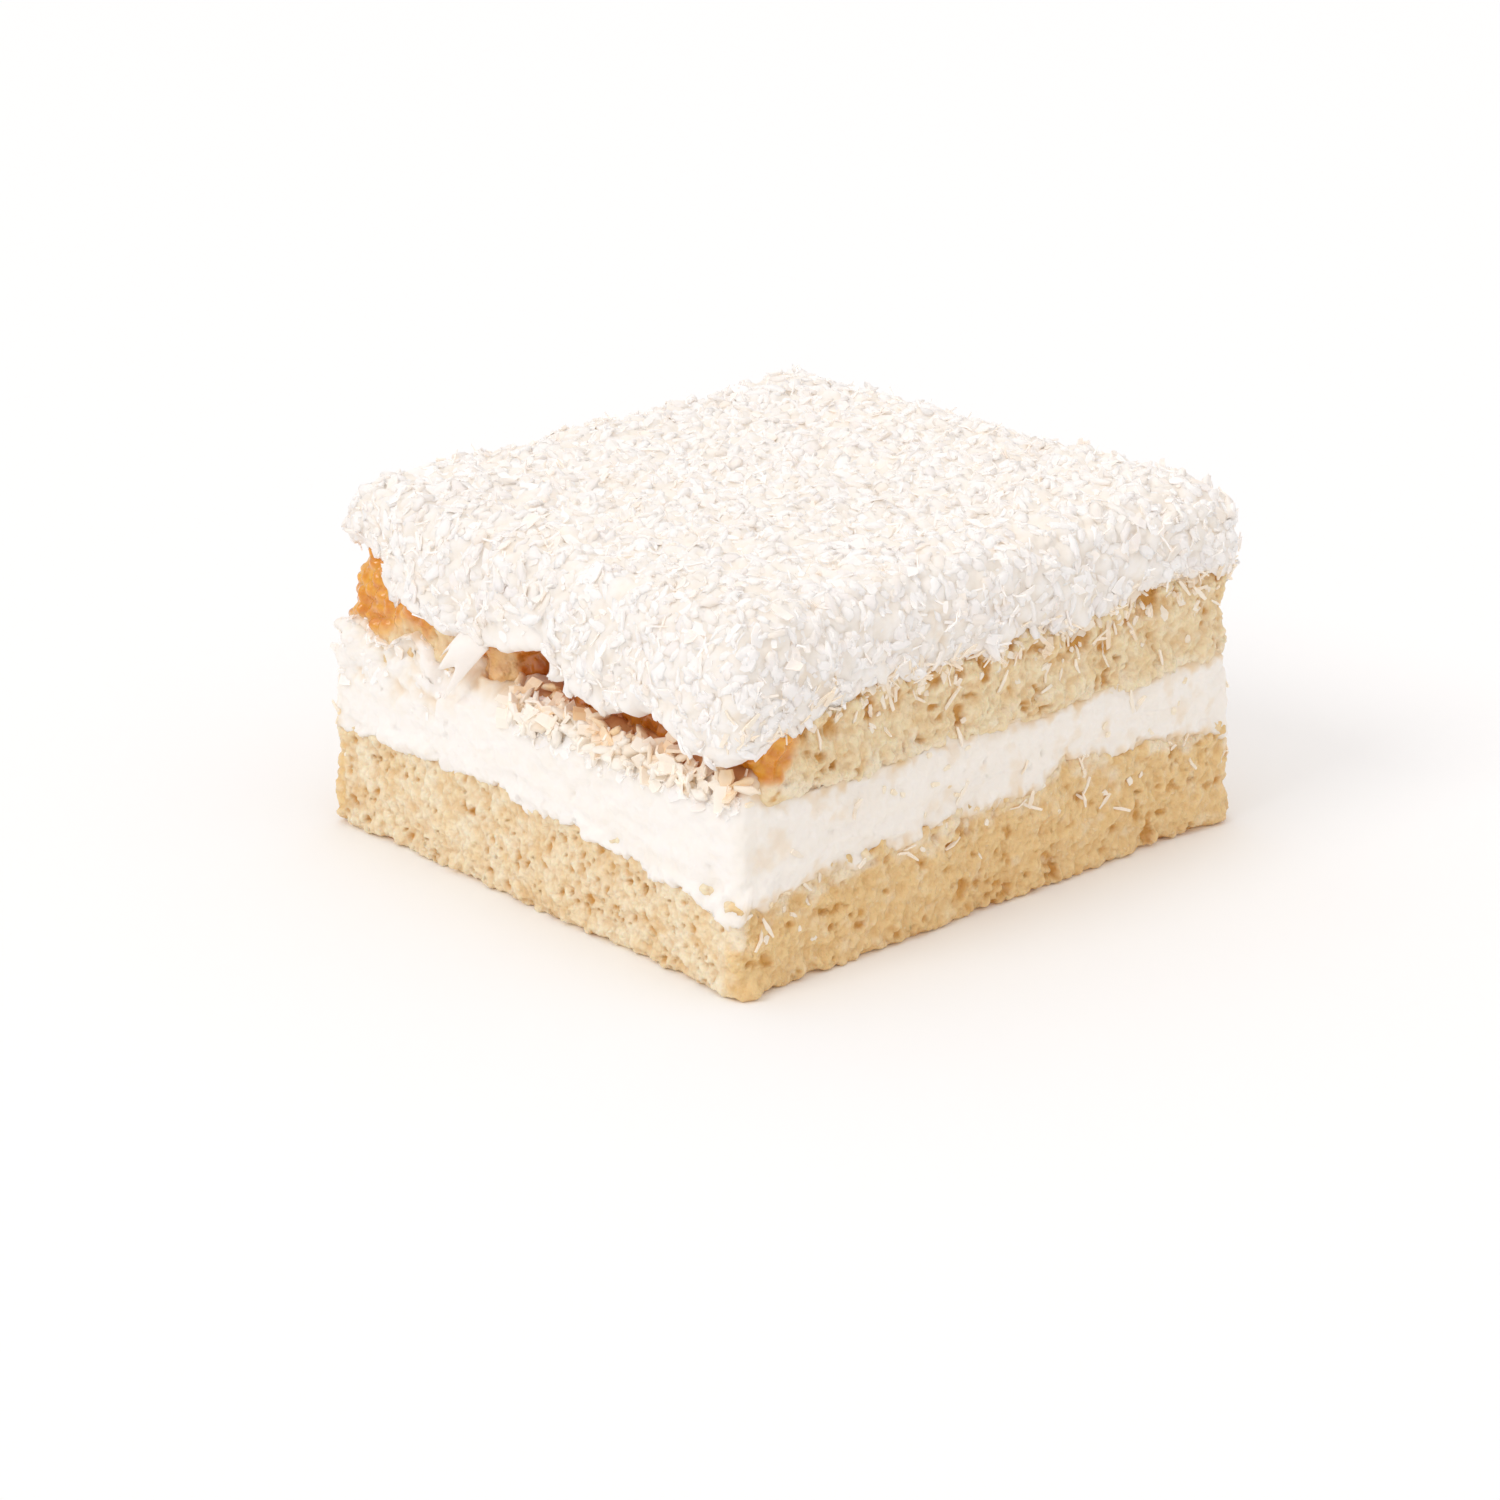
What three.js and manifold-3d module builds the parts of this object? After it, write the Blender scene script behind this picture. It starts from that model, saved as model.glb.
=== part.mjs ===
// A slice of milk cake: a soaked sponge base, a cream filling, a second sponge and a cream topping
// under desiccated coconut. Millimetres, +Z up, origin at the middle of the base.
// The clean cut side faces -Y. The dragged side faces -X: there the upper sponge stands back, the
// filling makes a ledge with coconut chips on it, and the topping hangs over in lobes.
import * as THREE from "three";
import { mergeVertices } from "three/addons/utils/BufferGeometryUtils.js";
import Module from "manifold-3d";

const wasm = await Module();
wasm.setup();

// Driving dimensions of the slice
const LENGTH = 80; // along X
const WIDTH = 72.6; // along Y
const CORNER = 2.2; // radius of the upright corners
const SLANT = 3.5; // how far the right side leans in from its near end to its far end
const BASE_TOP = 12.9; // heights at which one layer gives way to the next
const FILLING_TOP = 22.2;
const SPONGE_TOP = 32.6;
const CAKE_TOP = 43;
const GAP = 0.3; // clearance kept between neighbouring layers

// Places on the outline that the uneven layers are measured from
const FRONT = { x: -LENGTH / 2, y: -WIDTH / 2 };
const LEFT = { x: -LENGTH / 2, y: WIDTH / 2 };

// The dragged side
const RECESS = 4.2; // how far the upper sponge stands back
const TORN_FROM = 15; // the recess fades out between these two places along Y
const TORN_TO = 23;
const LEDGE_LIP = 22.6; // height of the filling's ledge at its lip and beside the sponge
const LEDGE_TOP = 25.4;
const RAISED_CRUST = 4.2; // the upper sponge's rise at the left corner
const RAISED_SPREAD = 9;

// Lobes of topping that hang below the top of the upper sponge: place, spread and drop.
// A negative drop lifts the lip and bares what lies under it.
const BASE_DROP = 0.5;
const LOBES = [
  { x: FRONT.x, y: FRONT.y + 3, spread: 4.5, drop: 4.8 },
  { x: FRONT.x, y: -14, spread: 7, drop: 3.8 },
  { x: FRONT.x, y: 0.5, spread: 2.2, drop: -1.4 },
  { x: FRONT.x, y: 11.5, spread: 5, drop: 2.2 },
  { x: LEFT.x, y: 23, spread: 2.6, drop: 2.4 },
  { x: LEFT.x, y: LEFT.y - 2, spread: 5, drop: -1.6 },
  { x: -10, y: FRONT.y, spread: 4, drop: 0.8 },
  { x: 15, y: FRONT.y, spread: 4.5, drop: 1.2 },
  { x: 28, y: FRONT.y, spread: 5, drop: -1.4 },
  { x: -14, y: LEFT.y, spread: 3.5, drop: 1.8 },
  { x: -FRONT.x, y: 8, spread: 4, drop: 1.6 },
];

// Coconut
const FLAKE = { length: 3.4, width: 1.3, thick: 0.6 };
const CHIP = { length: 2.6, width: 2, thick: 0.7 };
const TOP_FLAKES = 120;
const SIDE_FLAKES = 44;
const LEDGE_CHIPS = 20;

// Steps along the sides and round each corner of the outline
const LONG_STEPS = 22;
const SHORT_STEPS = 20;
const CORNER_STEPS = 3;

const mix = (a, b, t) => a + (b - a) * t;
const { smoothstep } = THREE.MathUtils;
const bump = (p, place, spread) =>
  Math.exp(-((p.x - place.x) ** 2 + (p.y - place.y) ** 2) / (2 * spread ** 2));

// A smooth uneven wave over the slice, between -1 and 1: three crossed sines shifted by the seed.
function ripple(p, seed) {
  const a = Math.sin(0.23 * p.x + 0.17 * p.y + seed);
  const b = Math.sin(0.11 * p.x - 0.31 * p.y + 2.1 * seed);
  const c = Math.sin(0.43 * p.x + 0.37 * p.y + 3.7 * seed);
  return (a + b + c) / 3;
}

// The right side isn't square to the others: a point moves in with its share of the way to the far
// right corner.
function slant(p) {
  const share = (p.x / LENGTH + 0.5) * (p.y / WIDTH + 0.5);
  return { ...p, x: p.x - SLANT * share };
}

// The slice's outline seen from above, anticlockwise from the front corner: a rectangle with round
// corners and a slanting right side. Each point carries its outward normal.
function outline() {
  const points = [];
  const straight = { x: LENGTH / 2 - CORNER, y: WIDTH / 2 - CORNER };
  const corners = [
    { sx: -1, sy: -1, turn: Math.PI, steps: LONG_STEPS, dx: 1, dy: 0 },
    { sx: 1, sy: -1, turn: 1.5 * Math.PI, steps: SHORT_STEPS, dx: 0, dy: 1 },
    { sx: 1, sy: 1, turn: 0, steps: LONG_STEPS, dx: -1, dy: 0 },
    { sx: -1, sy: 1, turn: 0.5 * Math.PI, steps: SHORT_STEPS, dx: 0, dy: -1 },
  ];
  for (const c of corners) {
    const centre = { x: c.sx * straight.x, y: c.sy * straight.y };
    for (let k = 0; k <= CORNER_STEPS; k++) {
      const angle = c.turn + (k / CORNER_STEPS) * (Math.PI / 2);
      const [nx, ny] = [Math.cos(angle), Math.sin(angle)];
      points.push({ x: centre.x + CORNER * nx, y: centre.y + CORNER * ny, nx, ny });
    }
    const last = points.at(-1);
    const run = 2 * Math.abs(c.dx * straight.x + c.dy * straight.y);
    for (let k = 1; k < c.steps; k++) {
      const along = (run * k) / c.steps;
      points.push({ ...last, x: last.x + c.dx * along, y: last.y + c.dy * along });
    }
  }
  return points.map(slant);
}
const PATH = outline();

const cornerness = (p) => 4 * (p.nx * p.ny) ** 2;
const tornAt = (y) => 1 - smoothstep(y, TORN_FROM, TORN_TO);
const torn = (p) => Math.max(0, -p.nx) * tornAt(p.y);
const spongePull = (p) => RECESS * tornAt(p.y);

// Heights of the layers' edges round the outline
const baseTop = (p) => BASE_TOP + 0.9 * ripple(p, 1) - 2 * bump(p, FRONT, 9);
const fillingTop = (p) => FILLING_TOP + 0.4 * ripple(p, 2);
const spongeTop = (p) =>
  SPONGE_TOP + 0.4 * ripple(p, 3) + RAISED_CRUST * bump(p, LEFT, RAISED_SPREAD);
const ledgeLip = (p) => mix(fillingTop(p) - GAP, LEDGE_LIP + 0.4 * ripple(p, 4), torn(p));
const hang = (p) =>
  spongeTop(p) - LOBES.reduce((sum, l) => sum + l.drop * bump(p, l, l.spread), BASE_DROP);

// How far the layers' sides stand out from the outline
const baseSide = (p) => 0.35 * ripple(p, 5) - 0.35 + 0.35 * cornerness(p);
const fillingSide = (p) => 0.3 * ripple(p, 6) - 0.1 + 0.3 * cornerness(p);
const spongeSide = (p) => 0.25 * ripple(p, 7) - 1.1 + 0.4 * cornerness(p);
const toppingSide = (p) =>
  0.35 * ripple(p, 8) - 0.1 + 0.2 * cornerness(p) - 2.3 * bump(p, LEFT, 5) + 0.7 * bump(p, FRONT, 9);
// Height of the topping, in waves twice as long as the sides' and drooping to the left corner.
const cakeTop = (x, y) =>
  CAKE_TOP + 0.6 * ripple({ x: x / 2, y: y / 2 }, 9) - 1.6 * bump({ x, y }, LEFT, 10);

// One point of a layer: the outline point p pushed out by `out`, the dragged side drawn in by `pull`,
// the whole ring drawn towards the middle by `shrink`.
function place(p, { out = 0, pull = 0, shrink = 1, z }) {
  const x = (p.x + p.nx * out) * shrink;
  const y = (p.y + p.ny * out) * shrink;
  return [x + (pull * Math.max(0, -x)) / (LENGTH / 2), y, typeof z === "function" ? z(x, y) : z];
}

// A closed solid from rings listed from the middle of its underside to the middle of its top.
function layer(rows, bottom, top) {
  const n = PATH.length;
  const points = [[0, 0, bottom]];
  rows.forEach((row) => PATH.forEach((p) => points.push(place(p, row(p)))));
  points.push([0, 0, top]);
  const index = [];
  const last = points.length - 1;
  for (let k = 0; k < n; k++) {
    const next = (k + 1) % n;
    index.push(0, 1 + next, 1 + k);
    for (let j = 0; j + 1 < rows.length; j++) {
      const [a, b] = [1 + j * n + k, 1 + j * n + next];
      index.push(a, b, b + n, a, b + n, a + n);
    }
    index.push(last - n + k, last - n + next, last);
  }
  const geometry = new THREE.BufferGeometry();
  geometry.setAttribute("position", new THREE.Float32BufferAttribute(points.flat(), 3));
  return geometry.setIndex(index);
}

const INNER = 0.8; // the ring inside which each layer's faces are flat
const RIM = 1.1; // how far a face's rim lies inside the layer's side

// Rings that two layers share, each lifted by the clearance it is given
const onBase = (lift) => [
  (p) => ({ out: baseSide(p) - RIM, z: baseTop(p) + lift }),
  () => ({ shrink: INNER, z: BASE_TOP + lift }),
];
const underSponge = (lift) => [
  (p) => ({ shrink: INNER, pull: spongePull(p), z: FILLING_TOP + lift }),
  (p) => ({ out: spongeSide(p) - RIM, pull: spongePull(p), z: fillingTop(p) + lift }),
];

function spongeBase() {
  const rows = [
    (p) => ({ out: baseSide(p) - 1, z: 0 }),
    (p) => ({ out: baseSide(p) - 0.2, z: 0.7 }),
    (p) => ({ out: baseSide(p) + 0.3, z: 3.5 }),
    (p) => ({ out: baseSide(p), z: baseTop(p) - 2.6 }),
    (p) => ({ out: baseSide(p) - 0.3, z: baseTop(p) - 0.8 }),
    ...onBase(0),
  ];
  return layer(rows, 0, BASE_TOP);
}

// The filling's bulging side, its lip, and on the dragged side the ledge that rises to the sponge.
function creamFilling() {
  const wall = (p) => smoothstep(torn(p), 0, 0.5);
  const rise = (p) => smoothstep(torn(p), 0.5, 1);
  const besideSponge = (p) => mix(fillingSide(p) - 1.3, spongeSide(p) + 0.6, wall(p));
  const rows = [
    ...onBase(GAP).reverse(),
    (p) => ({ out: fillingSide(p) - 0.2, z: baseTop(p) + 0.9 }),
    (p) => ({ out: fillingSide(p) + 0.3, z: mix(baseTop(p), ledgeLip(p), 0.35) }),
    (p) => ({ out: fillingSide(p) + 0.2, z: mix(baseTop(p), ledgeLip(p), 0.7) }),
    (p) => ({ out: fillingSide(p) - 0.1, z: ledgeLip(p) - 0.9 }),
    (p) => ({ out: fillingSide(p) - 0.7, z: ledgeLip(p) }),
    (p) => ({
      out: besideSponge(p),
      pull: spongePull(p) * 0.92,
      z: mix(fillingTop(p) - GAP, LEDGE_TOP, rise(p)),
    }),
    (p) => ({ out: besideSponge(p) - 0.2, pull: spongePull(p), z: fillingTop(p) - GAP }),
    ...underSponge(-GAP).reverse(),
  ];
  return layer(rows, BASE_TOP + GAP, FILLING_TOP - GAP);
}

function spongeUpper() {
  const pull = spongePull;
  const rows = [
    ...underSponge(0),
    (p) => ({ out: spongeSide(p), pull: pull(p), z: fillingTop(p) + 0.8 }),
    (p) => ({ out: spongeSide(p), pull: pull(p), z: mix(fillingTop(p), spongeTop(p), 0.5) }),
    (p) => ({ out: spongeSide(p) - 0.1, pull: pull(p), z: spongeTop(p) - 1.1 }),
    (p) => ({ out: spongeSide(p) - RIM, pull: pull(p), z: spongeTop(p) }),
    (p) => ({ shrink: INNER, pull: pull(p), z: SPONGE_TOP }),
  ];
  return layer(rows, FILLING_TOP, SPONGE_TOP);
}

// The topping's underside, the skirt that hangs outside the upper sponge, its side and its top.
const skirtIn = (p) => Math.min(spongeSide(p) + 0.5, toppingSide(p) - 0.4);
const toppingSideRow = (share, out) => (p) => ({
  out: toppingSide(p) + out,
  z: mix(hang(p), CAKE_TOP - 0.3, share),
});
function creamTopping() {
  const rows = [
    (p) => ({ shrink: INNER, pull: spongePull(p), z: SPONGE_TOP + GAP }),
    (p) => ({ out: skirtIn(p) - 1.6, pull: spongePull(p), z: spongeTop(p) + GAP }),
    (p) => ({ out: skirtIn(p), pull: spongePull(p), z: spongeTop(p) + GAP }),
    (p) => ({ out: skirtIn(p) + 0.1, pull: spongePull(p) * 0.95, z: hang(p) + GAP }),
    (p) => ({ out: mix(skirtIn(p), toppingSide(p), 0.5), pull: spongePull(p) * 0.5, z: hang(p) - 0.1 }),
    toppingSideRow(0.03, -0.3),
    toppingSideRow(0.25, 0.2),
    toppingSideRow(0.6, 0),
    toppingSideRow(0.84, -0.9),
    toppingSideRow(0.97, -2.5),
    () => ({ shrink: 0.86, z: cakeTop }),
    () => ({ shrink: 0.66, z: cakeTop }),
    () => ({ shrink: 0.45, z: cakeTop }),
    () => ({ shrink: 0.22, z: cakeTop }),
  ];
  return layer(rows, SPONGE_TOP + GAP, cakeTop(0, 0));
}

// Coconut flakes are thin kite-shaped plates.
function kite({ length, width, thick }) {
  const shape = new THREE.Shape();
  shape.moveTo(-length / 2, 0);
  shape.lineTo(-length * 0.1, -width / 2);
  shape.lineTo(length / 2, 0);
  shape.lineTo(length * 0.05, width / 2);
  shape.closePath();
  const plate = new THREE.ExtrudeGeometry(shape, { depth: thick, bevelEnabled: false });
  return plate.translate(0, 0, -thick / 2);
}

// The closed mesh as a solid for joining, and back.
function solid(geometry) {
  const bare = geometry.clone();
  bare.deleteAttribute("normal");
  bare.deleteAttribute("uv");
  const merged = mergeVertices(bare, 1e-4);
  const vertProperties = merged.attributes.position.array;
  const triVerts = new Uint32Array(merged.index.array);
  return new wasm.Manifold(new wasm.Mesh({ numProp: 3, vertProperties, triVerts }));
}
function surface(manifold) {
  const { vertProperties, triVerts } = manifold.getMesh();
  const geometry = new THREE.BufferGeometry();
  geometry.setAttribute("position", new THREE.BufferAttribute(vertProperties, 3));
  return geometry.setIndex(new THREE.BufferAttribute(triVerts, 1));
}

// Joins small pieces to a layer and keeps the layer's own body, so that no loose scrap stays.
function fuse(geometry, pieces) {
  const joined = pieces.reduce((sum, piece) => sum.add(solid(piece)), solid(geometry));
  return surface(joined.decompose().reduce((a, b) => (a.volume() > b.volume() ? a : b)));
}

// Evenly spread fractions: step k of a low-discrepancy sequence, one for each of three uses.
const spread = (k, use) => (0.5 + (k + 1) * [0.7549, 0.5698, 0.4302][use]) % 1;

// A flake of uneven size, turned about the surface normal and tipped up at one end.
function layFlake(size, k, centre, normal, tip) {
  const grow = mix(0.75, 1.2, spread(3 * k, 2));
  const flake = kite(size).scale(grow, mix(0.8, 1.15, spread(5 * k, 0)), 1);
  flake.rotateY(tip * mix(-1, 1, spread(7 * k, 1)));
  flake.rotateX(0.6 * tip * mix(-1, 1, spread(11 * k, 2)));
  flake.rotateZ(2 * Math.PI * spread(13 * k, 0));
  const up = new THREE.Vector3(0, 0, 1);
  flake.applyQuaternion(new THREE.Quaternion().setFromUnitVectors(up, normal));
  return flake.translate(centre.x, centre.y, centre.z);
}

function topFlakes() {
  const up = new THREE.Vector3(0, 0, 1);
  const reach = { x: LENGTH - 12, y: WIDTH - 12 };
  return Array.from({ length: TOP_FLAKES }, (_, k) => {
    const x = reach.x * (spread(k, 0) - 0.5);
    const y = reach.y * (spread(k, 1) - 0.5);
    return layFlake(FLAKE, k, new THREE.Vector3(x, y, cakeTop(x, y) + 0.1), up, 0.6);
  });
}

function sideFlakes() {
  return Array.from({ length: SIDE_FLAKES }, (_, k) => {
    const p = PATH[Math.floor(PATH.length * spread(k, 0))];
    const row = toppingSideRow(mix(0.35, 0.85, spread(k, 1)), -0.3);
    const normal = new THREE.Vector3(p.nx, p.ny, 0.5).normalize();
    return layFlake(FLAKE, k, new THREE.Vector3(...place(p, row(p))), normal, 0.45);
  });
}

// Chips along the ledge of the dragged side, from the front corner to the lifted lip.
function ledgeChips() {
  const from = FRONT.y + 4;
  const run = 36;
  return Array.from({ length: LEDGE_CHIPS }, (_, k) => {
    const share = spread(k, 1);
    const y = from + (run * (k + 0.5)) / LEDGE_CHIPS;
    const x = FRONT.x + mix(1.3, 2.6, share);
    const z = mix(LEDGE_LIP, LEDGE_TOP, mix(0.3, 0.6, share));
    const normal = new THREE.Vector3(-0.55, 0, 0.85).normalize();
    return layFlake(CHIP, k, new THREE.Vector3(x, y, z), normal, 0.7);
  });
}

// A pulled wisp of topping that hangs over the ledge.
function wisp() {
  const cone = new THREE.ConeGeometry(2.1, 6.2, 7);
  cone.rotateX(-Math.PI / 2);
  cone.rotateY(0.25);
  return cone.translate(FRONT.x + 0.6, 15.5, 29.4);
}

const COLOURS = { sponge: 0xe6c48f, crumb: 0xe2bd85, cream: 0xf8f3ea, coconut: 0xfaf6ef };
const finish = (color) => new THREE.MeshStandardMaterial({ color, roughness: 0.85, metalness: 0 });

const slice = new THREE.Group();
const parts = [
  ["sponge_base", spongeBase(), COLOURS.sponge],
  ["cream_filling", fuse(creamFilling(), ledgeChips()), COLOURS.cream],
  ["sponge_upper", spongeUpper(), COLOURS.crumb],
  ["cream_topping", fuse(creamTopping(), [wisp(), ...topFlakes(), ...sideFlakes()]), COLOURS.coconut],
];
for (const [name, geometry, color] of parts) {
  const mesh = new THREE.Mesh(geometry, finish(color));
  mesh.name = name;
  slice.add(mesh);
}

export default slice;
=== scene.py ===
"""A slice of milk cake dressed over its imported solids: soaked sponge, cream and desiccated coconut.

Lengths are in millimetres until a mesh is made. +Z is up, the clean cut side faces -Y and the dragged
side faces -X, as in the frame.
"""

import math
from types import SimpleNamespace

import bpy
import numpy as np
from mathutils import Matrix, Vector


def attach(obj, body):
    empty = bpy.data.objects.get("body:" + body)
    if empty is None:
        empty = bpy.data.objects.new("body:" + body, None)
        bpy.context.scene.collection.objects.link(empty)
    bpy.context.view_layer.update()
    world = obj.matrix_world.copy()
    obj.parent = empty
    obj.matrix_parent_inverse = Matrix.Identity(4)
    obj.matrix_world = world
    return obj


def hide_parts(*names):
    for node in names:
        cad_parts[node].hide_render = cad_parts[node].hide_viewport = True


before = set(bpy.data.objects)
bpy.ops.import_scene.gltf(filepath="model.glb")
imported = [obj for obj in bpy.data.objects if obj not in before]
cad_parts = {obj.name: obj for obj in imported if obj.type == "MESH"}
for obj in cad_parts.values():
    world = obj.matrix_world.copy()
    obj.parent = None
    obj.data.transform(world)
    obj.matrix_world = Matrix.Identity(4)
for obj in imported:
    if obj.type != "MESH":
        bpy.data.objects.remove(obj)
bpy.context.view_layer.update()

MM = 0.001
BODY = "root"
draw = np.random.default_rng(2026)

# Sizes of the slice, as in its solids
LENGTH, WIDTH = 80.0, 72.6
CORNER = 2.2
SLANT = 3.5
BASE_TOP = 12.9
FILLING_TOP = 22.2
SPONGE_TOP = 32.6
CAKE_TOP = 43.0

# The front and left corners, and how far the left one is drawn in
FRONT = (-LENGTH / 2, -WIDTH / 2)
LEFT = (-LENGTH / 2, WIDTH / 2)
LEFT_TUCK = 2.0

# The dragged side: its recess under the topping, where along y that ends, and the ledge's two heights
RECESS = 4.2
TORN_FROM, TORN_TO = 15.0, 23.0
LEDGE_LIP, LEDGE_TOP = 22.6, 25.4

# How far the crust rises at the left corner, and how widely
RAISED_CRUST, RAISED_SPREAD = 4.2, 9.0

# Hidden ends of the layers: the share of the outline that their inner rings keep, and the step in at an edge
INNER = 0.8
RIM = 1.1

# Lobes of topping that hang below the top of the upper sponge: x, y, spread and drop
BASE_DROP = 0.5
LOBES = (
    (FRONT[0], FRONT[1] + 3, 4.5, 4.8),
    (-10, FRONT[1], 4, 0.8),
    (15, FRONT[1], 4.5, 1.2),
    (-30, FRONT[1], 3, 1.3),
    (28, FRONT[1], 5, -1.4),
    (-14, LEFT[1], 3.5, 1.8),
    (-FRONT[0], 8, 4, 1.6),
)

# The topping's lip along the dragged side: y and height, from the front corner to the left one
DRAGGED_LIP = (
    (-36, 28.6), (-34, 27.3), (-32.6, 26.7), (-30, 27.6), (-27, 28.9), (-23, 29.8), (-19, 29.3),
    (-14, 28.0), (-8.5, 29.4), (-4.9, 29.4), (-4.1, 32.8), (0.6, 31.6), (3.4, 30.7), (6, 29.7),
    (11.5, 30.2), (15.3, 30.6), (19.4, 32.2), (22.6, 32.8), (24.4, 31.0), (25.2, 30.0), (26.0, 32.2),
    (27.4, 34.6), (29.5, 35.8), (34, 36.6),
)

# Steps in the lower edge of the filling on the clean side: x, spread and rise
EDGE_STEPS = (
    (-27, 5, -0.9), (-17.5, 4, -1.6), (-3, 2.5, -1.4), (0.2, 1.6, -1.2), (6.8, 1.8, -1.6),
    (12.5, 4.5, 1.4), (39, 3, -2.6),
)

# On the dragged side, the hollow under the topping and the lumps of sponge beside it: y, spread and depth,
# and how far each lump is browned
CAVE_Y, CAVE_SPREAD, CAVE_DEPTH = 1.8, 2.5, 3.4
LUMPS = ((8.9, 1.3, 2.4, 0.6), (16.4, 2.2, 2.6, 0.15))

# Forked leaf of cream on the dragged side: the two ends of its root, its three tips, half its greatest
# thickness
WISP_ROOT = ((-39.2, 11.6, 31.4), (-39.0, 7.6, 29.6))
WISP_TIPS = ((-41.9, 13.0, 27.8), (-42.0, 13.2, 26.4), (-41.6, 12.8, 22.6))
WISP_THICK = 0.45

# Crumb: size and height of its grains, then size and depth of its pores and the share of them that stay shut
GRAINS = ((0.85, 0.26), (1.7, 0.3))
PORE_SIZE, PORE_DEPTH, PORE_SHUT = 1.25, 0.55, 0.4

# Kinds of flake: length, width, thickness, share of the width left at the ends, tip and roll out of the
# surface, bend, height of the middle over the surface
PLATE = SimpleNamespace(length=(1.2, 2.8), width=(0.8, 1.7), thick=(0.14, 0.26), ends=(0.3, 0.85),
                        tip=0.09, roll=0.11, bend=-0.02, lift=(-0.13, 0.04))
TUFT = SimpleNamespace(length=(1.2, 2.4), width=(0.5, 1.1), thick=(0.12, 0.2), ends=(0.3, 0.7),
                       tip=0.35, roll=0.3, bend=0.05, lift=(-0.15, 0.05))
HAIR = SimpleNamespace(length=(1.6, 3.2), width=(0.16, 0.3), thick=(0.12, 0.18), ends=(0.3, 0.8),
                       tip=0.7, roll=0.5, bend=0.1, lift=(-0.1, 0.1))
SHRED = SimpleNamespace(length=(1.2, 2.4), width=(0.22, 0.36), thick=(0.14, 0.2), ends=(0.4, 0.9),
                        tip=0.22, roll=0.5, bend=0.1, lift=(-0.1, 0.12))
STRAND = SimpleNamespace(length=(1.6, 3.6), width=(0.35, 0.65), thick=(0.14, 0.24), ends=(0.3, 0.8),
                         tip=0.12, roll=0.3, bend=0.03, lift=(-0.05, 0.12))
BIT = SimpleNamespace(length=(0.5, 1.1), width=(0.4, 0.8), thick=(0.2, 0.35), ends=(0.4, 0.9),
                      tip=0.16, roll=0.2, bend=0.0, lift=(-0.15, 0.05))
CHIP = SimpleNamespace(length=(1.4, 3.0), width=(1.0, 2.0), thick=(0.2, 0.45), ends=(0.6, 1.0),
                       tip=0.5, roll=0.7, bend=0.0, lift=(0.0, 1.4))

# Kinds of rounded lump: length, width, thickness, tip and roll out of the surface, height over the surface
GRAIN = SimpleNamespace(length=(1.2, 3.4), width=(0.8, 2.1), thick=(0.7, 1.1),
                        tip=0.08, roll=0.12, lift=(-0.34, -0.14))
CHUNK = SimpleNamespace(length=(1.7, 3.2), width=(1.2, 2.0), thick=(0.7, 1.2),
                        tip=0.5, roll=0.7, lift=(0.0, 1.2))

# Corners of a flake, and the rings of a lump with the corners of each
FLAKE_CORNERS = 12
LUMP_RINGS, LUMP_SIDES = 4, 6

# How many of each kind lie on the topping, then the chips on the ledge, the thin share of them, the crumbs
GRAIN_COUNT, PLATE_COUNT, TUFT_COUNT = 3500, 700, 220
SHRED_COUNT, HAIR_COUNT, BIT_COUNT = 750, 220, 1500
CHIP_COUNT, CHIP_THIN = 175, 0.55
CRUMB_COUNT = 70

# Spacing of the fine grids: along the layers' sides, down the topping's side, and the squares over its top
CRUMB_STEP = 0.24
CREAM_STEP = 0.24
TOPPING_STEP = 0.36
TOP_STEPS = (220, 196)

# The camera: degrees round from the clean side and above the horizon, distance, aim, lens and sensor
VIEW_ROUND, VIEW_ABOVE = -42.32, 21.0
VIEW_DISTANCE = 456.3
VIEW_AIM = (-21.8, -18.15, 20.0)
LENS, SENSOR = 96, 36

# Half the width of the floor, in metres
FLOOR_REACH = 3


def mix(first, second, share):
    """The first value turning into the second as the share grows."""
    return first + (second - first) * share


def smoothstep(value, low, high):
    """A smooth step from 0 at `low` to 1 at `high`."""
    t = np.clip((value - low) / (high - low), 0, 1)
    return t * t * (3 - 2 * t)


def bell(value, middle, spread):
    """1 at the middle, falling off to both sides as a bell curve."""
    return np.exp(-(((value - middle) / spread) ** 2) / 2)


def hashed(cell, seed):
    """Repeatable numbers from 0 to 1, one for each whole-number cell: its coordinates and the seed are
    multiplied by large primes, added and scrambled."""
    x, y, z = (cell[..., axis].astype(np.uint32) for axis in range(3))
    h = x * np.uint32(374761393) + y * np.uint32(668265263) + z * np.uint32(2246822519)
    h = h + np.uint32(seed * 3266489917 % 2**32)
    h = (h ^ (h >> np.uint32(15))) * np.uint32(2654435761)
    h = (h ^ (h >> np.uint32(13))) * np.uint32(1274126177)
    return (h ^ (h >> np.uint32(16))) / 2.0**32


def noise(points, size, seed):
    """Value noise from -1 to 1, a pattern of its own for each seed: random values at the corners of cubes of
    the given size, blended smoothly."""
    q = points / size
    low = np.floor(q).astype(np.int64)
    f = q - low
    f = f * f * (3 - 2 * f)
    total = 0
    for corner in np.ndindex(2, 2, 2):
        weight = np.prod(np.where(corner, f, 1 - f), axis=-1)
        total = total + weight * hashed(low + np.array(corner), seed)
    return 2 * total - 1


def fractal(points, size, seed, octaves=3):
    """Noise summed over octaves, each at half the size and half the strength of the one before."""
    return sum(noise(points, size / 2**k, seed + k) / 2**k for k in range(octaves))


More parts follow.
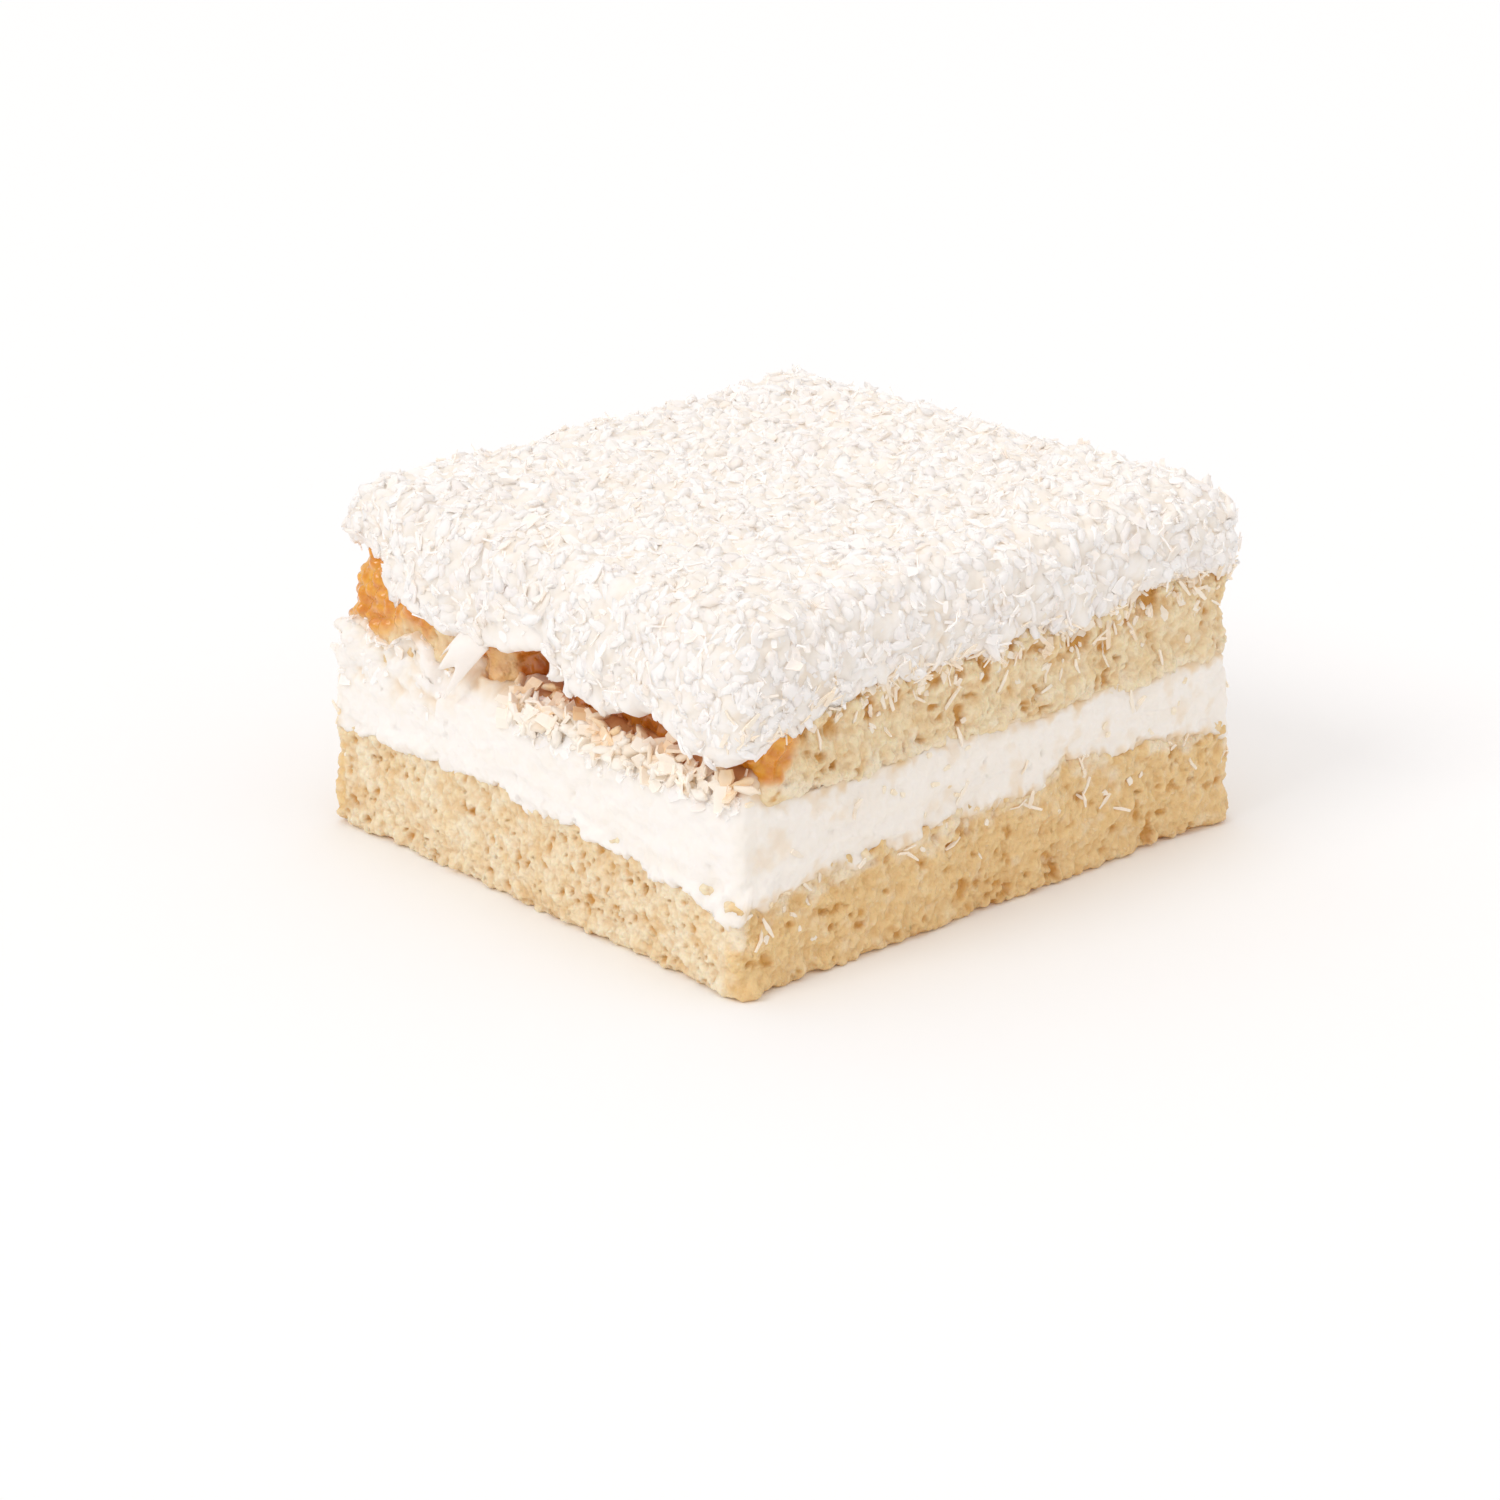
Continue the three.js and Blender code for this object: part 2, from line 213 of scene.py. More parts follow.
def cells(points, size, seed):
    """For the nearest of a set of seats, one at random in each cube of the given size: how far away it is,
    and its cube's own random number."""
    q = points / size
    home = np.floor(q).astype(np.int64)
    nearest = np.full(len(q), 9.0)
    mark = np.zeros(len(q))
    for step in np.ndindex(3, 3, 3):
        cell = home + np.array(step) - 1
        arm = q - cell - np.stack([hashed(cell, seed + k) for k in range(3)], axis=-1)
        away = np.linalg.norm(arm, axis=-1)
        closer = away < nearest
        nearest = np.where(closer, away, nearest)
        mark = np.where(closer, hashed(cell, seed + 3), mark)
    return SimpleNamespace(away=nearest * size, mark=mark)


def domes(points, size, spread, seed):
    """Round heads from 0 to 1, one on each seat, that reach out as far as `spread`."""
    return 1 - np.clip(cells(points, size, seed).away / spread, 0, 1) ** 2


def warped(points, reach, size, seed):
    """The points pushed about by noise, so that what is drawn on them loses its roundness."""
    return points + reach * np.stack([noise(points, size, seed + k) for k in range(3)], axis=-1)


# The outline and the layers' edges

def outline(count, start=0.0):
    """Rounded rectangle seen from above, anticlockwise from the front corner at even steps of its length:
    the centre of the corner's arc and the angle of its radius each run piecewise linearly. The right side
    then leans in towards its far end."""
    half = np.array([LENGTH, WIDTH]) / 2 - CORNER
    arc = CORNER * np.pi / 2
    seats = half * np.array([[-1, -1], [1, -1], [1, 1], [-1, 1], [-1, -1]])
    seats = np.repeat(seats, 2, axis=0)[:9]
    runs = [0, arc, 2 * half[0], arc, 2 * half[1], arc, 2 * half[0], arc, 2 * half[1]]
    knots = np.cumsum(runs)
    turns = np.pi * np.array([1, 1.5, 1.5, 2, 2, 2.5, 2.5, 3, 3])
    along = (start + np.arange(count) / count * knots[-1]) % knots[-1]
    angle = np.interp(along, knots, turns)
    nx, ny = np.cos(angle), np.sin(angle)
    x = np.interp(along, knots, seats[:, 0]) + CORNER * nx
    y = np.interp(along, knots, seats[:, 1]) + CORNER * ny
    x = x - SLANT * (x / LENGTH + 0.5) * (y / WIDTH + 0.5)
    return SimpleNamespace(x=x, y=y, nx=nx, ny=ny, length=knots[-1])


def bump(p, x, y, spread):
    """1 at one place, falling off round it as a bell curve."""
    return np.exp(-((p.x - x) ** 2 + (p.y - y) ** 2) / (2 * spread**2))


def tucked(p, depth, corner=LEFT, spread=7):
    """The outline with one corner drawn in towards the middle by `depth`."""
    inward = depth / math.sqrt(2) * bump(p, *corner, spread)
    x = p.x - np.sign(corner[0]) * inward
    y = p.y - np.sign(corner[1]) * inward
    return SimpleNamespace(x=x, y=y, nx=p.nx, ny=p.ny)


def ripple(p, seed):
    """A smooth uneven wave over the slice, between -1 and 1: three crossed sines shifted by the seed."""
    a = np.sin(0.23 * p.x + 0.17 * p.y + seed)
    b = np.sin(0.11 * p.x - 0.31 * p.y + 2.1 * seed)
    c = np.sin(0.43 * p.x + 0.37 * p.y + 3.7 * seed)
    return (a + b + c) / 3


def ragged(p, size, seed):
    """Fractal noise along the outline, for torn and smeared edges."""
    return fractal(np.stack([p.x, p.y, np.zeros_like(p.x)], axis=-1), size, seed, 4)


def cornerness(p):
    """1 in the middle of a corner's arc, 0 on the straight sides."""
    return 4 * (p.nx * p.ny) ** 2


def on_dragged(p):
    """1 on the dragged side, falling to 0 round its corners."""
    return np.maximum(0, -p.nx)


def on_clean(p):
    """1 on the clean cut side, falling to 0 round its corners."""
    return np.maximum(0, -p.ny)


def torn_at(y):
    """1 along the dragged side, falling to 0 towards its left end."""
    return 1 - smoothstep(y, TORN_FROM, TORN_TO)


def torn(p):
    """1 on the dragged side, 0 on the others and at the left corner."""
    return on_dragged(p) * torn_at(p.y)


def along_dragged(p, y, spread):
    """1 at one place on the dragged side, falling off along it."""
    return on_dragged(p) * bell(p.y, y, spread)


def cave(p):
    """1 at the middle of the hollow under the topping, falling off along the dragged side."""
    return along_dragged(p, CAVE_Y, CAVE_SPREAD)


def lumps(p):
    """1 at the middle of each lump of sponge beside the hollow, falling off along the dragged side."""
    return np.minimum(1, sum(along_dragged(p, y, spread) for y, spread, _, _ in LUMPS))


def sponge_pull(p):
    """How far the upper sponge stands back: by the recess, further at the hollow and less at the lumps."""
    bulge = sum(depth * along_dragged(p, y, spread) for y, spread, depth, _ in LUMPS)
    return RECESS * torn_at(p.y) + CAVE_DEPTH * cave(p) - bulge


# Heights of the layers' tops, then how far their sides stand out from the outline

def base_top(p):
    return BASE_TOP + 0.9 * ripple(p, 1) - 2.3 * bump(p, *FRONT, 9)


def filling_top(p):
    return FILLING_TOP + 0.4 * ripple(p, 2)


def sponge_top(p):
    return SPONGE_TOP + 0.4 * ripple(p, 3) + RAISED_CRUST * bump(p, *LEFT, RAISED_SPREAD)


def hang(p):
    """Height of the topping's lip: under the sponge's top by the lobes' drops, and on its own line along the
    dragged side."""
    drop = BASE_DROP + sum(drop * bump(p, x, y, spread) for x, y, spread, drop in LOBES)
    dragged = smoothstep(-p.nx, 0.3, 0.95)
    return mix(sponge_top(p) - drop, np.interp(p.y, *np.transpose(DRAGGED_LIP)), dragged)


def base_side(p):
    return 0.35 * ripple(p, 5) - 0.35 + 0.35 * cornerness(p)


def filling_side(p):
    return 0.3 * ripple(p, 6) - 0.1 + 0.3 * cornerness(p)


def sponge_side(p):
    return 0.25 * ripple(p, 7) - 0.8 + 0.4 * cornerness(p)


def topping_side(p):
    return 0.35 * ripple(p, 8) - 0.1 + 0.2 * cornerness(p) + 0.7 * bump(p, *FRONT, 9)


def cake_top(x, y):
    waves = 0.6 * ripple(SimpleNamespace(x=x / 2, y=y / 2), 9)
    return CAKE_TOP + waves - 1.6 * bump(SimpleNamespace(x=x, y=y), *LEFT, 10)


def cream_low(p):
    """Lower edge of the filling: the sponge's top, stepped on the clean side, sagging in drips on the
    dragged side and ragged all round."""
    clean, dragged = on_clean(p), on_dragged(p)
    steps = sum(rise * bell(p.x, x, spread) for x, spread, rise in EDGE_STEPS)
    sag = 0.7 * ragged(p, 7.0, 45) - 2.0 * smoothstep(-p.y, 8, 13) - 0.5 * smoothstep(-p.y, 28, 34)
    edge = base_top(p) + clean * steps + dragged * sag
    return edge + 0.7 * ragged(p, 4.5, 40) + mix(0.25, 0.55, dragged) * ragged(p, 1.1, 44)


def smear(p):
    """How far cream is drawn up over the sponge on the left end of the dragged side, with one taller flap
    beside a dip."""
    rise = 4.2 * smoothstep(p.y, 6, 12) + 1.2 * ragged(p, 3.0, 47) * smoothstep(p.y, 12, 18)
    flap, dip = (along_dragged(p, y, 1.8) for y in (21.0, 16.2))
    return on_dragged(p) * rise + 1.8 * flap - 3.6 * dip


def smear_top(p):
    """Upper edge of the filling: smeared up over the sponge on the left end of the dragged side, and raised
    at the front corner and near the middle of the clean side."""
    raised = 0.8 * on_clean(p) * bump(p, -2, FRONT[1], 5) + 1.8 * bump(p, FRONT[0] + 1, FRONT[1], 3.5)
    return filling_top(p) + smear(p) + raised + 0.55 * ragged(p, 4, 41)


def lip(p):
    """Lower edge of the topping, ragged all round."""
    fine = 0.5 - 0.35 * along_dragged(p, CAVE_Y + 2, 2 * CAVE_SPREAD)
    return hang(p) + mix(0.5, 0.9, on_clean(p)) * ragged(p, 3.2, 42) + fine * ragged(p, 1.1, 43)


# Surfaces

def place(p, z, out=0.0, pull=0.0, shrink=1.0, relief=1.0):
    """The outline pushed out by `out`, the dragged side drawn in by `pull` and the whole ring drawn
    towards the middle by `shrink`, at height z. A fourth column says how strong the relief is there."""
    x = (p.x + p.nx * out) * shrink
    y = (p.y + p.ny * out) * shrink
    x = x + pull * np.maximum(0, -x) / (LENGTH / 2)
    return np.stack([x, y, np.broadcast_to(z, x.shape), np.broadcast_to(relief, x.shape)], axis=-1)


def loft(stations, step):
    """Rings on a smooth curve through the stations, one about every `step`, or two to a span that has no
    relief: Hermite cubics whose tangents are the means of the neighbouring chords, weighted by the other
    chord's length."""
    stations = np.array(stations)
    ahead = np.diff(stations, axis=0)
    chord = np.linalg.norm(ahead[..., :3], axis=2, keepdims=True) + 1e-6
    slope = ahead / chord
    inner = (slope[1:] * chord[:-1] + slope[:-1] * chord[1:]) / (chord[1:] + chord[:-1])
    tangent = np.concatenate([slope[:1], inner, slope[-1:]])
    rings = []
    for j in range(len(chord)):
        seen = stations[j:j + 2, :, 3].max() > 0
        count = max(1, round(float(np.mean(chord[j])) / step)) if seen else 2
        t = np.arange(count)[:, None, None] / count
        start = (2 * t**3 - 3 * t**2 + 1) * stations[j] + (t**3 - 2 * t**2 + t) * tangent[j] * chord[j]
        end = (3 * t**2 - 2 * t**3) * stations[j + 1] + (t**3 - t**2) * tangent[j + 1] * chord[j]
        rings.append(start + end)
    rings.append(stations[-1:])
    return np.concatenate(rings)


def band(table):
    """Quads between the neighbouring rings of an index table whose columns run round and close."""
    across = np.roll(table, -1, axis=1)
    return np.stack([table[:-1], across[:-1], across[1:], table[1:]], axis=-1).reshape(-1, 4)


def fan(ring, centre, upwards):
    """Triangles from a ring of indices to one centre, facing up or down."""
    across = np.roll(ring, -1)
    middle = np.full_like(ring, centre)
    order = (ring, across, middle) if upwards else (across, ring, middle)
    return np.stack(order, axis=-1)


def closed_layer(rings, bottom, top):
    """A closed surface from stacked rings, with a fan to the middle of its underside and of its top."""
    count = rings.shape[0] * rings.shape[1]
    table = np.arange(count).reshape(rings.shape[:2])
    points = np.vstack([rings.reshape(-1, 4), [0, 0, bottom, 0], [0, 0, top, 0]])
    caps = [fan(table[0], count, False), fan(table[-1], count + 1, True)]
    quads, tris = band(table), np.concatenate(caps)
    return SimpleNamespace(points=points[:, :3], relief=points[:, 3], quads=quads, tris=tris)


def point_normals(surface):
    """Unit normals at the points: the sum of the quads' cross-diagonal products around each."""
    corners = surface.points[surface.quads]
    faces = np.cross(corners[:, 2] - corners[:, 0], corners[:, 3] - corners[:, 1])
    spread = np.repeat(faces, 4, axis=0)
    where = surface.quads.ravel()
    count = len(surface.points)
    total = np.stack([np.bincount(where, spread[:, k], count) for k in range(3)], axis=-1)
    return total / np.maximum(np.linalg.norm(total, axis=1, keepdims=True), 1e-9)


def swell(surface, height):
    """Moves each point along its normal by its height times the strength of the relief there."""
    surface.points = surface.points + point_normals(surface) * (height * surface.relief)[:, None]


def add_piece(name, surface, finish, nodes, marks, smooth=True):
    """Makes the mesh, gives it its finish and marks, and ties it to the frame."""
    mesh = bpy.data.meshes.new(name)
    quads, tris = surface.quads, surface.tris
    corners = np.concatenate([quads.ravel(), tris.ravel()]).astype(np.int32)
    starts = np.concatenate([np.arange(len(quads)) * 4, quads.size + np.arange(len(tris)) * 3])
    mesh.vertices.add(len(surface.points))
    mesh.vertices.foreach_set("co", (surface.points * MM).astype(np.float32).ravel())
    mesh.loops.add(len(corners))
    mesh.loops.foreach_set("vertex_index", corners)
    mesh.polygons.add(len(starts))
    mesh.polygons.foreach_set("loop_start", starts.astype(np.int32))
    for mark, values in marks.items():
        layer = mesh.attributes.new(mark, "FLOAT", "POINT")
        layer.data.foreach_set("value", np.asarray(values, np.float32))
    mesh.update(calc_edges=True)
    mesh.polygons.foreach_set("use_smooth", np.full(len(starts), smooth))
    mesh.materials.append(finish)
    piece = bpy.data.objects.new(name, mesh)
    bpy.context.scene.collection.objects.link(piece)
    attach(piece, BODY)
    if nodes:
        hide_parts(*nodes)


# Finishes

def srgb(red, green, blue):
    """A colour as seen on screen, from 0 to 255, as the linear values that shaders take."""
    share = np.array([red, green, blue]) / 255
    linear = np.where(share <= 0.04045, share / 12.92, ((share + 0.055) / 1.055) ** 2.4)
    return (*linear.tolist(), 1.0)


class Value:
    """A shader socket that takes part in Python expressions: each operator adds one Math node."""

    def __init__(self, finish, socket):
        self.finish = finish
        self.socket = socket

    def math(self, operation, first, second):
        """A Math node on two values."""
        return self.finish.node("ShaderNodeMath", {"operation": operation}, {0: first, 1: second})

    def __add__(self, other):
        return self.math("ADD", self, other)

    def __sub__(self, other):
        return self.math("SUBTRACT", self, other)

    def __mul__(self, other):
        return self.math("MULTIPLY", self, other)

    def __radd__(self, other):
        return self.math("ADD", other, self)

    def __rsub__(self, other):
        return self.math("SUBTRACT", other, self)

    def __rmul__(self, other):
        return self.math("MULTIPLY", other, self)


class Finish:
    """A material with one Principled shader: fixed sockets are set on it, varying ones are linked."""

    def __init__(self, name, fixed):
        self.material = bpy.data.materials.new(name)
        self.material.use_nodes = True
        self.tree = self.material.node_tree
        self.shader = self.tree.nodes["Principled BSDF"]
        self.vary(fixed)

    def node(self, kind, settings=None, sockets=None, output=0):
        """Adds a node of any kind, its settings first and then the values or links of its sockets."""
        made = self.tree.nodes.new(kind)
        for key, value in (settings or {}).items():
            setattr(made, key, value)
        for key, value in (sockets or {}).items():
            self.feed(made.inputs[key], value)
        return Value(self, made.outputs[output])

    def feed(self, socket, value):
        """Links a value that varies, or sets one that doesn't."""
        if isinstance(value, Value):
            self.tree.links.new(value.socket, socket)
        else:
            socket.default_value = value

    def vary(self, sockets):
        """Sets or links sockets of the shader."""
        for key, value in sockets.items():
            self.feed(self.shader.inputs[key], value)

    def mark(self, name):
        """One of the marks that the piece's points carry."""
        return self.node("ShaderNodeAttribute", {"attribute_name": name}, output="Fac")

    def grain(self, size, detail=3.0, stretch=(1, 1, 1)):
        """Noise from 0 to 1 on Object coordinates, its blotches about `size` millimetres across."""
        where = self.node("ShaderNodeTexCoord", output="Object")
        stretched = self.node("ShaderNodeMapping", None, {"Vector": where, "Scale": stretch})
        sockets = {"Vector": stretched, "Scale": 1 / (size * MM), "Detail": detail}
        return self.node("ShaderNodeTexNoise", {"normalize": True}, sockets)

    def beads(self, size, detail=1.0):
        """Round grains on Object coordinates, about `size` millimetres apart: 1 at their tops, 0 between."""
        where = self.node("ShaderNodeTexCoord", output="Object")
        sockets = {"Vector": where, "Scale": 1 / (size * MM), "Detail": detail, "Smoothness": 0.3}
        return 1.0 - self.node("ShaderNodeTexVoronoi", {"feature": "SMOOTH_F1", "normalize": False}, sockets)

    def step(self, value, low, high):
        """A smooth step from 0 at `low` to 1 at `high`."""
        sockets = {"Value": value, "From Min": low, "From Max": high}
        return self.node("ShaderNodeMapRange", {"interpolation_type": "SMOOTHSTEP"}, sockets)

    def blend(self, share, first, second):
        """The first colour turning into the second as the share grows."""
        return self.node("ShaderNodeMix", {"data_type": "RGBA"}, {0: share, 6: first, 7: second}, 2)

    def bump(self, height, depth, strength=1.0):
        """Fine relief, `depth` millimetres deep."""
        sockets = {"Height": height, "Distance": depth * MM, "Strength": strength}
        return self.node("ShaderNodeBump", None, sockets)


def soft(weight, reach, tint):
    """Fixed sockets of a body that light sinks into, reaching about `reach` millimetres."""
    return {
        "Subsurface Weight": weight,
        "Subsurface Radius": tint,
        "Subsurface Scale": reach * MM,
    }


def sponge_finish(name, pale, shade, hole):
    """Moist crumb: pale walls, slow blotches, darker and more amber where the cut sides are marked, painted
    shade of amber in its pores and in the crevices between its grains, paler where cream is smeared on it,
    and where it is marked a browned glossy crust, darkened by painted shade in the recess."""
    wet = {"Specular IOR Level": 0.5, "Coat Roughness": 0.1}
    finish = Finish(name, {**soft(0.15, 0.7, (1.0, 0.6, 0.3)), **wet})
    crusted = finish.mark("crust")
    bead = finish.beads(0.85)
    blotch = finish.step(finish.grain(4.0), 0.35, 0.68)
    # Painted shade: the crevices between the grains are coloured towards the darker shade.
    between = 1.0 - finish.step(bead, 0.45, 0.85)
    # Blotches, the darker amber of the cut sides where marked, and the painted shade between the grains.
    body = finish.blend(0.35 * blotch + 0.58 * finish.mark("amber_darkening") + 0.33 * between, pale, shade)
    # Painted shade of amber in the pores and crevices, where marked.
    body = finish.blend(finish.mark("pore"), body, hole)
    body = finish.blend(finish.mark("smear"), body, srgb(251, 238, 213))
    browned = finish.blend(finish.step(finish.grain(1.6), 0.3, 0.7), srgb(241, 174, 40), srgb(222, 136, 16))
    # Painted shade: the crust turns deep brown in the recess under the topping, where marked.
    browned = finish.blend(finish.mark("recess_shade"), browned, srgb(200, 114, 40))
    finish.vary({
        "Base Color": finish.blend(crusted, body, browned),
        "Roughness": 0.55 - 0.15 * bead - 0.2 * crusted,
        "Coat Weight": 0.35 + 0.6 * crusted,
        "Normal": finish.bump((bead + 0.4 * finish.grain(0.4, 4.0)) * (1.0 - 0.7 * crusted), 0.4, 0.7),
    })
    return finish.material


def cream_finish(name, cream, warm):
    """Whipped cream: satin, with faint warm streaks, stained where it is marked by smudged crumb and by
    painted warm shade, painted brown shade where it is marked in recesses, and tiny pits."""
    finish = Finish(name, {**soft(0.25, 1.6, (1.0, 0.9, 0.8)), "Specular IOR Level": 0.4})
    streak = finish.step(finish.grain(4.0, 3.0, (0.4, 0.4, 1.6)), 0.4, 0.75)
    body = finish.blend(streak * 0.5, cream, warm)
    # Stain and painted shade: smudged crumb, and warm shade in dips, on the cut sides and at the back of the
    # ledge.
    body = finish.blend(finish.mark("stain_and_shade"), body, srgb(236, 208, 166))
    # Painted shade: brown in the recesses under the topping, where marked.
    body = finish.blend(finish.mark("brown_shade"), body, srgb(208, 136, 74))
    finish.vary({
        "Base Color": body,
        "Roughness": 0.46 + 0.2 * streak,
        "Normal": finish.bump(finish.grain(0.5, 4.0), 0.1, 0.5),
    })
    return finish.material


def coconut_finish(name, pale, warm, cool, wet=0.0):
    """Coconut flesh: each flake between pale and a warm or cool shade by its own tint, faintly fibrous, a
    little translucent, and under a film of milk where it is wet."""
    film = {"Specular IOR Level": 0.35, "Coat Weight": wet, "Coat Roughness": 0.2}
    finish = Finish(name, {**soft(0.22, 0.5, (1.0, 0.8, 0.6)), **film})
    finish.shader.subsurface_method = "BURLEY"
    fibre = finish.grain(0.5, 3.0)
    shade = finish.blend(finish.step(finish.grain(3.0), 0.4, 0.6), warm, cool)
    finish.vary({
        "Base Color": finish.blend(finish.mark("tint"), pale, shade),
        "Roughness": 0.46 + 0.2 * fibre,
        "Normal": finish.bump(fibre, 0.05, 0.4),
    })
    return finish.material


# The four layers

def clean_cut(points):
    """1 on the three sides that were cut clean, falling to 0 at 2.5 millimetres in from them."""
    x, y = points[:, 0], points[:, 1]
    right = smoothstep(x, LENGTH / 2 - 2.5, LENGTH / 2 - 1)
    return np.maximum(right, smoothstep(np.abs(y), WIDTH / 2 - 2.5, WIDTH / 2 - 1))


def crumb_relief(points, seed):
    """Height of an open crumb and how far each point lies in a crevice or a pore, from 0 to 1, which is
    painted as shade. Round grains of two sizes, pushed out of shape, stand on slow clumps, and pores of
    uneven size are hollowed out of them. On the cut sides there are fewer pores, and tears and ridges drawn
    down by the blade are added."""
    cut = clean_cut(points)
    height = mix(0.25, 0.4, cut) * fractal(points, 3.2, seed + 40)
    crevice = np.zeros(len(points))
    bent = warped(points, 0.35, 1.0, seed)
    for size, rise in GRAINS:
        dome = domes(bent, size, 0.7 * size, seed + round(10 * size))
        height = height + rise * dome
        crevice = crevice + (0.5 - 0.5 * dome)
    pore = cells(warped(points, 0.45, 0.9, seed + 4), PORE_SIZE, seed + 8)
    radius = PORE_SIZE * mix(0.2, 0.7, ((pore.mark * 7.3) % 1) ** 1.5)
    shut = mix(PORE_SHUT, PORE_SHUT + 0.5, cut) + 0.45 * fractal(points, 5.0, seed + 30)
    hollow = smoothstep(pore.mark, shut, shut + 0.1) * (1 - smoothstep(pore.away, 0.2 * radius, radius))
    tear = cut * smoothstep(fractal(points * [1, 1, 1.4], 2.0, seed + 70), 0.5, 1.0)
    hollow = np.maximum(hollow, tear)
    height = height - mix(1.0, 0.75, cut) * PORE_DEPTH * hollow
    ridge = 1 - 2 * np.abs(noise(warped(points, 0.5, 1.5, seed + 60) * [0.8, 0.8, 0.42], 1.0, seed + 50))
    return height + 0.25 * cut * ridge, np.clip(mix(0.5, 0.4, cut) * crevice**1.5 + 0.9 * hollow, 0, 1)


def smudge(points, depth, seed):
    """How far cream is wiped over the crumb, from 0 to 1: in ragged patches on the cut sides, most of all at
    the cream's edge, and in faint ones further from it."""
    wiped = 0.8 * smoothstep(fractal(points, 2.2, seed, 4) - 0.4 * np.abs(depth), -0.8, 0.4)
    return clean_cut(points) * np.maximum(wiped, 0.3 * smoothstep(fractal(points, 1.6, seed + 5), 0.3, 0.9))


def outline_for(step):
    """The outline with a point about every `step`."""
    return outline(round(outline(8).length / step))


def sponge_base():
    """The lower sponge: rings of the outline from its underside up its side and in under the filling, closed
    by fans. The crumb's relief moves it along its normals, with beads of wet crumb along the foot."""
    p = outline_for(CRUMB_STEP)
    side = base_side(p)
    top = np.maximum(base_top(p), cream_low(p)) + 0.5
    stations = [
        place(p, 0.0, shrink=0.93, relief=0),
        place(p, 0.0, out=side - 0.7, relief=0),
        place(p, 0.6, out=side - 0.1),
        place(p, 3.5, out=side + 0.3),
        place(p, top - 2.6, out=side),
        place(p, top, out=side - 0.35),
        place(p, top + 0.6, out=side - RIM, relief=0),
        place(p, BASE_TOP, shrink=INNER, relief=0),
    ]
    rings = loft(stations, CRUMB_STEP)
    surface = closed_layer(rings, 0.0, BASE_TOP)
    points = surface.points
    height, pore = crumb_relief(points, 100)
    beads = (1 - smoothstep(points[:, 2], 0.8, 2.4)) * domes(points, 2.3, 1.3, 170)
    swell(surface, height + 0.4 * beads)
    surface.points[:, 2] = np.maximum(surface.points[:, 2], 0)
    depth = np.append((cream_low(p) - rings[..., 2]).ravel(), [9, 9])
    none = np.zeros_like(pore)
    marks = {
        # Painted shade in the pores and crevices of the crumb.
        "pore": pore,
        # Darker and more amber on the cut sides.
        "amber_darkening": clean_cut(points),
        "crust": none,
        "recess_shade": none,
        "smear": smudge(points, depth, 500),
    }
    add_piece("sponge_base_crumb", surface, SPONGE, ["sponge_base"], marks)
    return surface


